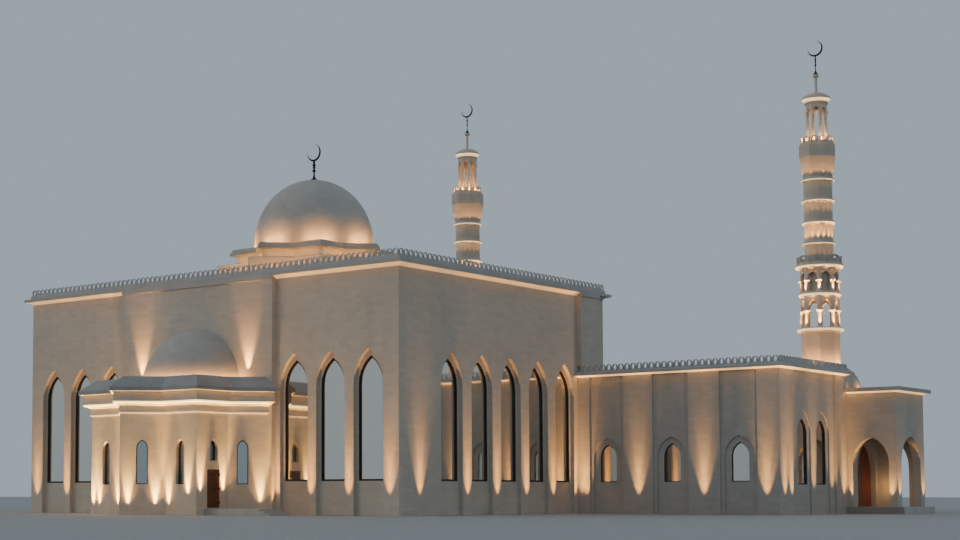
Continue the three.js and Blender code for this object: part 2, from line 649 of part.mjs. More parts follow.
function endWallCuts(sign) {
  const facing = 90 * sign;
  const x = sign * wingHalfWidth;
  const panel = [
    [-endPanel.halfWidth, -0.2], [endPanel.halfWidth, -0.2],
    [endPanel.halfWidth, wingWallTop + 0.2], [-endPanel.halfWidth, wingWallTop + 0.2],
  ];
  const e = endLancet;
  const lancets = [-e.offset, e.offset].flatMap((offset) => [
    through(pointedOutline(e.nicheHalfWidth, -0.2, e.spring, e.nicheApex, 4),
      x, endPanel.centre + offset, facing, 0.2, e.nicheDepth),
    through(pointedOutline(e.holeHalfWidth, e.sill, e.spring, e.holeApex, 4),
      x, endPanel.centre + offset, facing, 0.2, 0.9),
  ]);
  const doorway = through(pointedOutline(
    porchDoor.halfWidth, floorTop, porchDoor.spring, porchDoor.apex, doorArchSteps,
  ), sign * doorWall.outer, porchDoor.centre, facing, 0.2, 0.9);
  return [through(panel, x, endPanel.centre, facing, 0.2, wingPanel.depth), ...lancets, doorway];
}

for (const sign of [1, -1]) {
  const side = sign > 0 ? "right" : "left";
  const span = (a, b) => [Math.min(sign * a, sign * b), Math.max(sign * a, sign * b)];
  const frontCutters = wingWindowCentres.flatMap((x) => wingWindowCuts(sign * x, wingFront, 0));
  addPiece(wings, `${side}_wing_front_wall`, without(
    box(...span(hallHalfWidth, wingHalfWidth), wingFront, wingInnerFront, 0, wingWallTop), frontCutters,
  ), colours.wallStone);
  addPiece(wings, `${side}_wing_end_wall`, without(joined([
    box(...span(wingInnerX, wingHalfWidth), wingInnerFront, wingRear, 0, wingWallTop),
    box(...span(wingInnerX, doorWall.outer), wingRear, galleryInnerFront, 0, galleryWallTop),
    box(...span(doorWall.inner, doorWall.outer), galleryInnerFront, galleryInnerRear, 0, galleryWallTop),
  ]), endWallCuts(sign)), colours.wallStone);
}
addPiece(wings, "wing_rear_wall", without(
  box(-wingInnerX, wingInnerX, wingRear - wingWallThickness, wingRear, floorTop, wingWallTop),
  rearDoorways.map((x) => through(innerDoorwayOutline, x, wingRear, 180, 0.2, 1)),
), colours.wallStone);
const blindNiche = pointedOutline(
  wingWindow.nicheHalfWidth, -0.2, wingWindow.spring, wingWindow.nicheApex, 4);
addPiece(wings, "gallery_rear_wall", without(
  box(-doorWall.outer, doorWall.outer, galleryInnerRear, galleryRear, 0, galleryWallTop), [
    ...courtDoorways.map((x) => through(innerDoorwayOutline, x, galleryRear, 180, 0.2, 1)),
    ...rearBlindNiches.flatMap((x) => [x, -x]).map((x) => through(blindNiche, x, galleryRear, 180, 0.2, 0.3)),
  ]), colours.wallStone);
const roofInset = wingCorniceSeat;
addPiece(wings, "wing_roof", prism([
  [hallHalfWidth, wingFront + roofInset], [wingHalfWidth - roofInset, wingFront + roofInset],
  [wingHalfWidth - roofInset, wingRear - roofInset], [-wingHalfWidth + roofInset, wingRear - roofInset],
  [-wingHalfWidth + roofInset, wingFront + roofInset], [-hallHalfWidth, wingFront + roofInset],
  [-hallHalfWidth, hallHalfDepth], [hallHalfWidth, hallHalfDepth],
], wingWallTop, wingRoofTop), colours.floorStone);
addPiece(wings, "wing_cornice", swept(wingPath, [
  [-wingCorniceSeat, wingWallTop],
  ...covePoints(wingWallTop, wingOverhang, wingCoveRise),
  [wingOverhang, wingRoofTop], [parapetOuter, wingRoofTop], [parapetOuter, wingParapetTop],
  [parapetInner, wingParapetTop], [parapetInner, wingRoofTop], [-wingCorniceSeat, wingRoofTop],
]), colours.trimStone);

// The gallery roof runs on over both porches
const porchPathRight = [[wingHalfWidth, wingRear], [porchHalfWidth, wingRear], [porchHalfWidth, galleryRear]];
const porchPath = [...porchPathRight, ...[...porchPathRight].reverse().map(([x, y]) => [-x, y])];
addPiece(wings, "gallery_roof", swept(porchPath, [
  [-0.5, galleryWallTop],
  ...covePoints(galleryWallTop, wingOverhang, wingCoveRise),
  [wingOverhang, galleryRoofTop], [-0.5, galleryRoofTop],
]).add(box(
  -porchHalfWidth, porchHalfWidth, wingRear, galleryRear, galleryWallTop, galleryRoofTop,
)).subtract(joined([1, -1].map((sign) => turned([
  [0, galleryWallTop - 1], [galleryDome.radius - galleryDome.shell, galleryWallTop - 1],
  [galleryDome.radius - galleryDome.shell, galleryRoofTop + 1], [0, galleryRoofTop + 1],
], 28).translate(sign * galleryDome.x * mmPerMetre, galleryDome.y * mmPerMetre, 0)))), colours.trimStone);
for (const sign of [1, -1]) {
  const d = galleryDome;
  const dome = addPiece(wings, `${sign > 0 ? "right" : "left"}_gallery_dome`, domeShellSolid(
    d.radius, d.shell, galleryRoofTop, d.spring, d.apex, 6, 28,
  ), colours.domeStone);
  dome.position.set(sign * d.x * mmPerMetre, d.y * mmPerMetre, 0);
}

for (const sign of [1, -1]) {
  const side = sign > 0 ? "right" : "left";
  const span = (a, b) => [Math.min(sign * a, sign * b), Math.max(sign * a, sign * b)];
  const front = porchFrontArch;
  const flank = porchSideArch;
  const rear = porchRearArch;
  const frontOutline = pointedOutline(front.halfWidth, floorTop - 0.2, front.spring, front.apex, 6);
  const rearOutline = pointedOutline(rear.halfWidth, floorTop - 0.2, rear.spring, rear.apex, 5);
  const flankOutline = pointedOutline(flank.halfWidth, floorTop - 0.2, flank.spring, flank.apex, 6);
  const inner = porchHalfWidth - wingWallThickness;
  addPiece(wings, `${side}_porch_walls`, without(
    box(...span(doorWall.outer, porchHalfWidth), wingRear, galleryRear, floorTop, galleryWallTop), [
      box(...span(doorWall.outer - 0.2, inner), galleryInnerFront, galleryInnerRear, 0, galleryWallTop + 0.2),
      through(frontOutline, sign * front.centre, wingRear, 0, 0.2, 1),
      through(rearOutline, sign * rear.centre, galleryRear, 180, 0.2, 1),
      through(flankOutline, sign * porchHalfWidth, flank.centre, 90 * sign, 0.2, 1),
    ]), colours.paleStone);
  addPiece(wings, `${side}_porch_floor`, box(
    ...span(wingHalfWidth, porchHalfWidth + porchPlinth.side),
    wingRear - porchPlinth.front, galleryRear + porchPlinth.front, 0, floorTop,
  ).subtract(box(
    ...span(wingHalfWidth - 0.2, doorWall.outer), wingRear, galleryRear, -0.2, floorTop + 0.2,
  )), colours.floorStone);
}

// Arch-headed door leaves: two that swing into the right end of the gallery, and the left pair closed
function porchDoorOutline(inset) {
  return pointedOutline(
    porchDoor.halfWidth - inset, floorTop + inset, porchDoor.spring,
    insetApex(porchDoor.halfWidth, porchDoor.spring, porchDoor.apex, inset), doorArchSteps);
}
const rightDoorway = through(
  porchDoorOutline(porchDoor.clearance), doorWall.inner, porchDoor.centre, 90, porchDoor.thickness, 0);
const halfGap = porchDoor.clearance / 2;
const porchHingeX = doorWall.inner - hinge.radius - seatGap;
for (const [name, along] of [["front", 1], ["rear", -1]]) {
  const hingeY = porchDoor.centre - along * (porchDoor.halfWidth + hinge.beyondEdge);
  const half = along > 0 ? box(30, 40, 20, porchDoor.centre - halfGap, 0, 8)
    : box(30, 40, porchDoor.centre + halfGap, 26, 0, 8);
  addPiece(wings, `right_door_leaf_${name}`, joined([
    rightDoorway.intersect(half),
    ...porchHingeHeights.map((z) => hingeBarrel(porchHingeX, hingeY, along, z, 1)),
  ]), colours.doorWood, 0.6);
}
addPiece(wings, "left_door", through(
  porchDoorOutline(seatGap), -doorWall.inner, porchDoor.centre, -90, porchDoor.thickness, 0,
), colours.doorWood, 0.6);

// Court behind the gallery
const court = new THREE.Group();
building.add(court);
const courtInnerX = courtHalfWidth - courtWallThickness;
const courtInnerRear = courtRear - courtWallThickness;
const baseFront = minaretY - minaretBaseHalf;
const baseInner = minaretX - minaretBaseHalf;
addPiece(court, "court_floor", prism([
  [-courtInnerX, galleryRear], [courtInnerX, galleryRear], [courtInnerX, baseFront],
  [baseInner, baseFront], [baseInner, courtInnerRear],
  [-baseInner, courtInnerRear], [-baseInner, baseFront], [-courtInnerX, baseFront],
], 0, courtFloorTop), colours.floorStone);
const copingProfile = [
  [-courtWallThickness, 0], [0, 0], [0, courtWallTop], [0.2, courtWallTop + 0.15], [0.2, courtWallTop + 0.4],
  [-courtWallThickness - 0.2, courtWallTop + 0.4], [-courtWallThickness - 0.2, courtWallTop + 0.15],
  [-courtWallThickness, courtWallTop],
];
addPiece(court, "court_right_wall", without(
  swept([[courtHalfWidth, galleryRear], [courtHalfWidth, baseFront]], copingProfile),
  courtNicheCentres.map((y) => through(blindNiche, courtHalfWidth, y, 90, 0.2, 0.3)),
), colours.wallStone);
addPiece(court, "court_left_wall", without(
  swept([[-courtHalfWidth, baseFront], [-courtHalfWidth, galleryRear]], copingProfile),
  courtNicheCentres.map((y) => through(blindNiche, -courtHalfWidth, y, -90, 0.2, 0.3)),
), colours.wallStone);
addPiece(court, "court_rear_wall", without(
  swept([[baseInner, courtRear], [-baseInner, courtRear]], copingProfile), [
    through(pointedOutline(courtGate.halfWidth, courtFloorTop, courtGate.spring, courtGate.apex),
      0, courtRear, 180, 0.3, 1.2),
    ...[-10.4, -5.2, 5.2, 10.4].map((x) => through(blindNiche, x, courtRear, 180, 0.2, 0.3)),
  ]), colours.wallStone);

// One minaret, standing at the group's origin
function tube(radius, innerRadius, z0, z1, segments) {
  return turned([
    [innerRadius, z0], [radius, z0], [radius, z1], [innerRadius, z1], [innerRadius, z0],
  ], segments);
}

function octagonTube(radius, wall, z0, z1, phase = 0.5) {
  return swept(polygonPath(radius, minaretSides, phase), [[-wall, z0], [0, z0], [0, z1], [-wall, z1]], true);
}

// Arched openings through the sides of an octagonal tube of the same phase.
function sideArches(radius, halfWidth, bottom, spring, apex, depth, phase = 0.5) {
  const apothem = radius * Math.cos(Math.PI / minaretSides);
  const outline = pointedOutline(halfWidth, bottom, spring, apex, 3);
  return Array.from({ length: minaretSides }, (_, k) => {
    const angle = (2 * Math.PI * (k + 0.5 - phase)) / minaretSides;
    const facing = THREE.MathUtils.radToDeg(angle) + 90;
    return through(outline, apothem * Math.cos(angle), apothem * Math.sin(angle), facing, 0.2, depth);
  });
}

function minaretBase() {
  const half = minaretBaseHalf;
  const s = minaretShoulder;
  const wall = 0.6;
  const shoulderHeight = s.top - s.bottom;
  const shoulder = new THREE.CylinderGeometry(
    s.topHalf * Math.SQRT2, half * Math.SQRT2, shoulderHeight, 4, 1);
  shoulder.rotateX(Math.PI / 2);
  shoulder.rotateZ(Math.PI / 4);
  shoulder.translate(0, 0, s.bottom + shoulderHeight / 2);
  return without(joined([
    box(-half, half, -half, half, 0, s.bottom),
    toSolid(shoulder),
    prism(polygonPath(minaretOctagonRadius, minaretSides), s.top - 0.5, minaretBaseTop),
  ]), [
    box(-half + wall, half - wall, -half + wall, half - wall, 0.3, s.bottom - 0.4),
    turned([[0, s.bottom - 1], [1.2, s.bottom - 1], [1.2, 17], [0, 17]], 16),
  ]);
}

function minaretGallery() {
  const g = galleryLevels;
  const inner = 0.9;
  const ledge = (radius, z0, z1) => turned([
    [inner, z0], [radius - 0.35, z0], [radius, z0 + 0.25], [radius, z1], [inner, z1], [inner, z0],
  ], 24);
  const walls = without(octagonTube(minaretOctagonRadius, 0.3, g.ledgeTop - 0.2, g.upperBottom + 0.2), [
    ...sideArches(minaretOctagonRadius, galleryArchHalfWidth, g.ledgeTop, g.lowerSpring, g.lowerApex, 0.6),
    ...sideArches(minaretOctagonRadius, galleryArchHalfWidth, g.middleTop, g.upperSpring, g.upperApex, 0.6),
  ]);
  return joined([
    walls,
    ledge(galleryLedge.lower, minaretBaseTop, g.ledgeTop),
    ledge(galleryLedge.middle, g.middleBottom, g.middleTop),
    ledge(galleryLedge.upper, g.upperBottom, g.upperTop),
    tube(1.15, inner, g.middleTop - 0.1, g.upperBottom + 0.1, 16),
    tube(galleryLedge.upper - 0.1, galleryLedge.upper - 0.25, g.upperTop - 0.05, g.parapetTop, 24),
  ]);
}

function minaretShaft() {
  const foot = galleryLevels.upperTop;
  const profile = [[minaretInnerRadius, foot], [minaretShaftRadius, foot]];
  for (const z of shaftRings) {
    profile.push(
      [minaretShaftRadius, z], [shaftRing.radius, z + 0.2], [shaftRing.radius, z + shaftRing.height],
      [minaretShaftRadius, z + shaftRing.height],
    );
  }
  profile.push([minaretShaftRadius, shaftTop], [minaretInnerRadius, shaftTop], [minaretInnerRadius, foot]);
  const collarProfile = [
    [minaretInnerRadius - collar.radius, shaftTop - 0.1],
    [minaretShaftRadius - collar.radius, shaftTop - 0.1],
    [0, collar.bandBottom], [0, collar.bandTop - 0.3], [-0.12, collar.bandTop],
    [minaretInnerRadius - collar.radius, collar.bandTop],
  ];
  return joined([
    turned(profile, 24),
    swept(polygonPath(collar.radius, minaretSides, 0), collarProfile, true),
    octagonTube(collar.parapetRadius, 0.12, collar.bandTop - 0.05, collar.parapetTop, 0),
  ]);
}

function minaretLantern() {
  const posts = without(octagonTube(lantern.radius, lantern.wall, collar.bandTop, lantern.top, 0), sideArches(
    lantern.radius, lantern.archHalfWidth, collar.bandTop + 0.2, lantern.spring, lantern.apex, 0.5, 0));
  const ringAndCap = turned([
    [0, lantern.top], [1.08, lantern.top], [1.2, lantern.top + 0.12],
    [lanternRing.radius, lanternRing.bottom],
    [lanternRing.radius, lanternRing.top], [1.2, lanternRing.top + 0.15], [0.8, capTop - 0.12],
    [stoneSpike.radius, capTop], [stoneSpike.radius, 40.2], [stoneSpike.knobRadius, 40.4],
    [stoneSpike.knobRadius, 40.5], [0.2, stoneSpike.top], [0, stoneSpike.top],
  ], 20);
  return posts.add(ringAndCap);
}

for (const sign of [1, -1]) {
  const side = sign > 0 ? "right" : "left";
  const minaret = new THREE.Group();
  minaret.position.set(sign * minaretX * mmPerMetre, minaretY * mmPerMetre, 0);
  building.add(minaret);
  addPiece(minaret, `${side}_minaret_base`, minaretBase(), colours.wallStone);
  addPiece(minaret, `${side}_minaret_gallery`, minaretGallery(), colours.paleStone);
  addPiece(minaret, `${side}_minaret_shaft`, minaretShaft(), colours.wallStone);
  addPiece(minaret, `${side}_minaret_lantern`, minaretLantern(), colours.paleStone);
  const crescentTop = finial(stoneSpike.top, 3.15, 0.22);
  addPiece(minaret, `${side}_minaret_finial`, crescentTop, colours.darkMetal, 0.45, 0.8);
}

export default building;
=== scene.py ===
from math import pi, radians

import bmesh
import bpy
import numpy as np
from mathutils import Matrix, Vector


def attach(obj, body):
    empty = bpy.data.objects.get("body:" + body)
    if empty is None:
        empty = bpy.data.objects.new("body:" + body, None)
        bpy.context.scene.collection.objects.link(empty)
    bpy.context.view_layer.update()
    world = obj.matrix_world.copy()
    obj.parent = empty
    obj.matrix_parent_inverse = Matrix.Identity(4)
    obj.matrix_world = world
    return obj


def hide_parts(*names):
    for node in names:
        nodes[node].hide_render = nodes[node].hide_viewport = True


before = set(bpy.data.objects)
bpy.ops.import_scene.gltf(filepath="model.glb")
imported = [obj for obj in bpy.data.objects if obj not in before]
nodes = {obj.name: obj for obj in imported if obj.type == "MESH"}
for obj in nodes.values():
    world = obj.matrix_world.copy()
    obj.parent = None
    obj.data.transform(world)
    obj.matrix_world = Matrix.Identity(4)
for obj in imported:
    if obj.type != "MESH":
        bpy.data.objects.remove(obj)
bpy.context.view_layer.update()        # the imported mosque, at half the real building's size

realMetre = 0.5          # one metre of the real building, in scene metres

# the plan, in real metres from the middle of the hall: x to the right, y to the back
hallX, hallY = 18.2, 12.8
wingX, wingFrontY, wingBackY = 34.3, 9.0, 20.3
porchX, porchBackY = 38.0, 25.6
nicheY, nicheFrontY, halfDomeY = -13.0, -18.2, -12.0
nicheHalf = 5.2          # half the side of the two squares that make the niche's star
galleryDomeAt, minaretAt = (31.95, 22.95), (19.9, 48.8)     # the right ones; the left ones mirror them
domeRadius, smallDomeRadius = 4.65, 2.2
sides = (("left", -1), ("right", 1))

# surfaces: sizes are in real metres, and addPiece turns them into scene metres

def gridFaces(rows, columns, closeRows, closeColumns):
    # four-cornered faces between neighbouring points of a rows x columns grid
    r = np.arange(rows if closeRows else rows - 1)[:, None]
    c = np.arange(columns if closeColumns else columns - 1)[None, :]
    nextR, nextC = (r + 1) % rows, (c + 1) % columns
    corners = [r * columns + c, nextR * columns + c, nextR * columns + nextC, r * columns + nextC]
    return np.stack(corners, -1).reshape(-1, 4)


def facingOut(points, faceSets):
    # volume of the cones from the middle to each face: below zero means inside out
    middle = points.mean(0)
    volume = 0.0
    for faces in faceSets:
        corner = points[faces] - middle
        for k in range(1, faces.shape[1] - 1):
            volume += np.einsum("ij,ij->", corner[:, 0], np.cross(corner[:, k], corner[:, k + 1]))
    return faceSets if volume > 0 else [faces[:, ::-1] for faces in faceSets]


def solidGrid(points, closeRows):
    # points (rows, columns, 3): a closed outline of columns carried along the rows, with end caps
    rows, columns = points.shape[:2]
    faceSets = [gridFaces(rows, columns, closeRows, True)]
    if not closeRows:
        cap = np.arange(columns)[None, :]
        faceSets += [cap, (rows - 1) * columns + cap[:, ::-1]]
    flat = points.reshape(-1, 3)
    return flat, facingOut(flat, faceSets)


def manyTimes(faceSets, count, size):
    # the same faces for each of count solids of size points
    steps = np.arange(count)[:, None, None] * size
    return [(faces[None] + steps).reshape(-1, faces.shape[1]) for faces in faceSets]


def copies(points, closeRows):
    # points (copies, rows, columns, 3): the same solid many times over
    flat, faceSets = solidGrid(points[0], closeRows)
    return points.reshape(-1, 3), manyTimes(faceSets, len(points), len(flat))


def offsetPath(path, distances, closed):
    # corner + distance * (n1 + n2) / (1 + n1.n2), n the normals to the right of travel
    step = np.roll(path, -1, 0) - path
    normal = np.stack([step[:, 1], -step[:, 0]], 1) / np.linalg.norm(step, axis=1, keepdims=True)
    if not closed:
        normal[-1] = normal[-2]
    before = np.roll(normal, 1, 0)
    if not closed:
        before[0] = normal[0]
    share = (before + normal) / (1 + (before * normal).sum(1, keepdims=True))
    return path[:, None] + share[:, None] * np.asarray(distances)[None, :, None]


def carried(path, profile, closed=False):
    # a closed profile of [offset to the right, height] points carried along a plan path
    path, profile = np.array(path, float), np.array(profile, float)
    plan = offsetPath(path, profile[:, 0], closed)
    height = np.broadcast_to(profile[:, 1], plan.shape[:2])
    return solidGrid(np.concatenate([plan, height[..., None]], -1), closed)


def around(x, y, radius, angle, height):
    return np.stack(np.broadcast_arrays(x + radius * np.cos(angle), y + radius * np.sin(angle), height), -1)


def turned(profile, x, y, segments, start=0.0, sweep=360.0):
    # a closed profile of [radius, height] points turned about an upright axis
    profile = np.array(profile, float)
    whole = sweep >= 360
    angle = np.radians(start + sweep * np.arange(segments if whole else segments + 1) / segments)[:, None]
    return solidGrid(around(x, y, profile[:, 0], angle, profile[:, 1]), whole)


def pointedArch(halfWidth, bottom, spring, apex, steps):
    # two circles of radius (w^2 + h^2) / 2w, centred on the spring line, that meet at the apex
    rise = apex - spring
    radius = (halfWidth ** 2 + rise ** 2) / (2 * halfWidth)
    centre = radius - halfWidth
    angle = np.linspace(0, np.arctan2(rise, centre), steps + 1)
    right = np.stack([radius * np.cos(angle) - centre, spring + radius * np.sin(angle)], 1)
    left = right[::-1][1:] * [-1, 1]
    return np.concatenate([[[halfWidth, bottom]], right, left, [[-halfWidth, bottom]]])


def onWall(outline, out, x, y, facing):
    # x, y + across * (cos f, sin f) + out * (sin f, -cos f); up is the height
    f = np.radians(facing)
    across, up = outline[..., 0], outline[..., 1]
    plan = [x + across * np.cos(f) + out * np.sin(f), y + across * np.sin(f) - out * np.cos(f)]
    return np.stack([*plan, up + 0 * across], -1)


def archRing(outer, inner, front, back, x, y, facing, closed=True):
    # the band between two outlines of as many points, from one depth to another
    edges = [(outer, front), (inner, front), (inner, back), (outer, back)]
    corners = [onWall(outline, depth, x, y, facing) for outline, depth in edges]
    return solidGrid(np.stack(corners, 1), closed)


def slab(x0, x1, y0, y1, z0, z1):
    # a plain board or bar between two corners
    ring = np.array([[x0, y0], [x1, y0], [x1, y1], [x0, y1]], float)
    return solidGrid(np.stack([np.c_[ring, np.full(4, z)] for z in (z0, z1)]), False)


def alongFront(sign, xs, y):
    # places on a wall: x, y and the way it faces, 0 to the front and 90 to the right
    return [(sign * x, y, 0) for x in xs]


def alongSide(sign, x, ys):
    return [(sign * x, y, 90 * sign) for y in ys]


def addObject(name, data):
    thing = bpy.data.objects.new(name, data)
    bpy.context.scene.collection.objects.link(thing)
    return thing


def addPiece(name, patches, material, body="building", replaced=(), creaseAngle=35, weld=False):
    # one object from (points, face sets) patches, which rides on a body of the frame
    weldDistance = 0.0002       # scene metres
    points = np.concatenate([p for p, _ in patches]) * realMetre
    starts = np.cumsum([0] + [len(p) for p, _ in patches])
    faceSets = [faces + start for (_, sets), start in zip(patches, starts) for faces in sets]
    mesh = bpy.data.meshes.new(name)
    mesh.from_pydata(points.tolist(), [], [face for faces in faceSets for face in faces.tolist()])
    if weld:
        work = bmesh.new()
        work.from_mesh(mesh)
        bmesh.ops.remove_doubles(work, verts=work.verts, dist=weldDistance)
        work.to_mesh(mesh)
        work.free()
    mesh.validate()
    mesh.shade_smooth()
    mesh.set_sharp_from_angle(angle=radians(creaseAngle))
    mesh.materials.append(material)
    piece = addObject(name, mesh)
    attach(piece, body)
    if replaced:
        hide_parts(*replaced)
    return piece


# materials

class Shading:
    # a material's node tree, with short ways to add to it
    def __init__(self, name):
        self.material = bpy.data.materials.new(name)
        self.material.use_nodes = True
        self.tree = self.material.node_tree
        self.shader = self.tree.nodes["Principled BSDF"]
        self.place = self.add("TexCoord").outputs["Object"]

    def set(self, socket, value):
        if isinstance(value, bpy.types.NodeSocket):
            self.tree.links.new(value, socket)
        else:
            socket.default_value = (*value, 1.0) if socket.type == "RGBA" else value

    def add(self, kind, inputs=(), **settings):
        node = self.tree.nodes.new("ShaderNode" + kind)
        for key, value in settings.items():
            setattr(node, key, value)
        for key, value in dict(inputs).items():
            self.set(node.inputs[key], value)
        return node

    def maths(self, operation, a, b=0.0):
        return self.add("Math", {0: a, 1: b}, operation=operation).outputs[0]

    def mixed(self, share, a, b, blend="MIX"):
        return self.add("Mix", {0: share, 6: a, 7: b}, data_type="RGBA", blend_type=blend).outputs[2]

    def noise(self, place, scale, detail=4, roughness=0.6):
        inputs = {"Vector": place, "Scale": scale, "Detail": detail, "Roughness": roughness}
        return self.add("TexNoise", inputs).outputs["Fac"]

    def ranged(self, value, low, high, newLow, newHigh):
        return self.add("MapRange", {0: value, 1: low, 2: high, 3: newLow, 4: newHigh}).outputs[0]

    def over(self, colour, other, pattern, low, high, share):
        # the other colour comes in, up to its share, where the pattern goes from low to high
        return self.mixed(self.ranged(pattern, low, high, 0, share), colour, other)

    def bump(self, height, strength, distance, normal=None):
        inputs = {"Height": height, "Strength": strength, "Distance": distance}
        if normal is not None:
            inputs["Normal"] = normal
        return self.add("Bump", inputs).outputs["Normal"]

    def finish(self, colour, roughness, normal=None, metallic=0.0):
        self.set(self.shader.inputs["Base Color"], colour)
        self.set(self.shader.inputs["Roughness"], roughness)
        self.shader.inputs["Metallic"].default_value = metallic
        if normal is not None:
            self.set(self.shader.inputs["Normal"], normal)
        return self.material


def darker(colour, share):
    return [share * c for c in colour]


def wallCoordinates(s):
    # u runs level along the face (position . up x normal), v is the height
    normal = s.add("NewGeometry").outputs["True Normal"]
    along = s.add("VectorMath", {0: (0, 0, 1), 1: normal}, operation="CROSS_PRODUCT").outputs[0]
    along = s.add("VectorMath", {0: along}, operation="NORMALIZE").outputs[0]
    u = s.add("VectorMath", {0: s.place, 1: along}, operation="DOT_PRODUCT").outputs["Value"]
    height = s.add("SeparateXYZ", {0: s.place}).outputs["Z"]
    return s.add("CombineXYZ", {0: u, 1: height}).outputs[0]


def roundCoordinates(axisX, axisY, radius):
    # u is the angle about the axis times the radius, v the height
    def coordinates(s):
        parts = s.add("SeparateXYZ", {0: s.place}).outputs
        # away from the middle the sign of X is dropped, so that one material serves both sides
        x = s.maths("ABSOLUTE", parts["X"]) if axisX else parts["X"]
        x = s.maths("SUBTRACT", x, axisX * realMetre)
        y = s.maths("SUBTRACT", parts["Y"], axisY * realMetre)
        u = s.maths("MULTIPLY", s.maths("ARCTAN2", y, x), radius * realMetre)
        return s.add("CombineXYZ", {0: u, 1: parts["Z"]}).outputs[0]
    return coordinates


def blockPattern(s, place, width, height, joint, smooth, shades, **settings):
    # shades: the grey of every other block and of the joints
    other, mortar = shades
    inputs = {
        "Vector": place, "Scale": 1.0, "Color1": (1, 1, 1), "Color2": (other, other, other),
        "Mortar": (mortar, mortar, mortar), "Mortar Size": joint * realMetre, "Mortar Smooth": smooth,
        "Brick Width": width * realMetre, "Row Height": height * realMetre,
    }
    return s.add("TexBrick", inputs, **settings).outputs


def stone(name, light, dark, course=0.3, block=0.75, jointShade=0.86, coordinates=wallCoordinates):
    # coursed ashlar: blocks of slightly different tone, shallow joints, soft streaks and fine grain
    s = Shading(name)
    bricks = blockPattern(s, coordinates(s), block, course, 0.012, 0.4, (0.9, jointShade))
    patches = s.noise(s.place, 0.35, 5)
    grain = s.noise(s.place, 22, 3, 0.7)
    tall = s.add("Mapping", {"Vector": s.place, "Scale": (1.6, 1.6, 0.09)}).outputs[0]
    streak = s.noise(tall, 2.2, 4)
    colour = s.over(light, dark, patches, 0.3, 0.7, 1)
    colour = s.mixed(1.0, colour, bricks["Color"], "MULTIPLY")
    colour = s.over(colour, darker(dark, 0.45), streak, 0.5, 0.8, 0.12)
    colour = s.over(colour, darker(dark, 0.7), grain, 0.35, 0.75, 0.12)
    normal = s.bump(grain, 0.25, 0.004)
    normal = s.bump(s.maths("SUBTRACT", 1.0, bricks["Fac"]), 0.35, 0.004, normal)
    return s.finish(colour, s.ranged(grain, 0.2, 0.8, 0.72, 0.9), normal)


def plainStone(name, light, dark):
    # cut stone of small pieces: mottled, with a fine grain
    s = Shading(name)
    patches, grain = s.noise(s.place, 1.2, 5), s.noise(s.place, 30, 3, 0.7)
    colour = s.over(light, dark, patches, 0.3, 0.7, 1)
    colour = s.over(colour, darker(dark, 0.6), grain, 0.4, 0.75, 0.15)
    return s.finish(colour, s.ranged(grain, 0.2, 0.8, 0.7, 0.88), s.bump(grain, 0.25, 0.004))


def paving(name, light, dark):
    # square slabs in straight rows, smoother than the walls
    slabSize = 0.8
    s = Shading(name)
    tiles = blockPattern(s, s.place, slabSize, slabSize, 0.008, 0.2, (0.86, 0.6), offset=0.0)
    grain = s.noise(s.place, 14, 4)
    colour = s.mixed(s.noise(s.place, 0.8, 4), light, dark)
    colour = s.mixed(1.0, colour, tiles["Color"], "MULTIPLY")
    normal = s.bump(s.maths("SUBTRACT", 1.0, tiles["Fac"]), 0.4, 0.004)
    return s.finish(colour, s.ranged(grain, 0.2, 0.8, 0.45, 0.7), normal)


def mirrorGlass(name, tint):
    # coated glass that mirrors what stands before it, very slightly wavy
    s = Shading(name)
    wave, dust = s.noise(s.place, 0.9, 1), s.noise(s.place, 7, 5)
    colour = s.over(tint, darker(tint, 0.82), dust, 0.4, 0.8, 0.25)
    return s.finish(colour, s.ranged(dust, 0.3, 0.8, 0.02, 0.09), s.bump(wave, 0.06, 0.02), 0.92)


def metal(name, light, dark, metallic=0.85, roughness=(0.35, 0.55)):
    s = Shading(name)
    patches, grain = s.noise(s.place, 4, 4), s.noise(s.place, 60, 3)
    colour = s.mixed(patches, light, dark)
    return s.finish(colour, s.ranged(grain, 0.2, 0.8, *roughness), s.bump(grain, 0.15, 0.002), metallic)


def boards(name, light, dark, width):
    # upright boards across Y, each with its own tone, and grain drawn out along Z
    s = Shading(name)
    parts = s.add("SeparateXYZ", {0: s.place}).outputs
    across = s.maths("DIVIDE", parts["Y"], width * realMetre)
    tone = s.add("TexWhiteNoise", {"W": s.maths("FLOOR", across)}, noise_dimensions="1D").outputs["Value"]
    drawn = s.add("Mapping", {"Vector": s.place, "Scale": (24, 24, 1.3)}).outputs[0]
    grain = s.noise(drawn, 3.0, 6, 0.65)
    colour = s.mixed(grain, light, dark)
    colour = s.over(colour, dark, tone, 0, 1, 0.35)
    return s.finish(colour, s.ranged(grain, 0.2, 0.8, 0.38, 0.62), s.bump(grain, 0.3, 0.003))


def lightStrip(name, colour, strength):
    # light tape behind a diffuser, a little uneven along its length
    s = Shading(name)
    uneven = s.noise(s.place, 3, 2)
    tint = s.over(colour, darker(colour, 0.85), uneven, 0.3, 0.7, 1)
    s.set(s.shader.inputs["Emission Color"], tint)
    s.shader.inputs["Emission Strength"].default_value = strength
    return s.finish((0.7, 0.62, 0.5), 0.6)


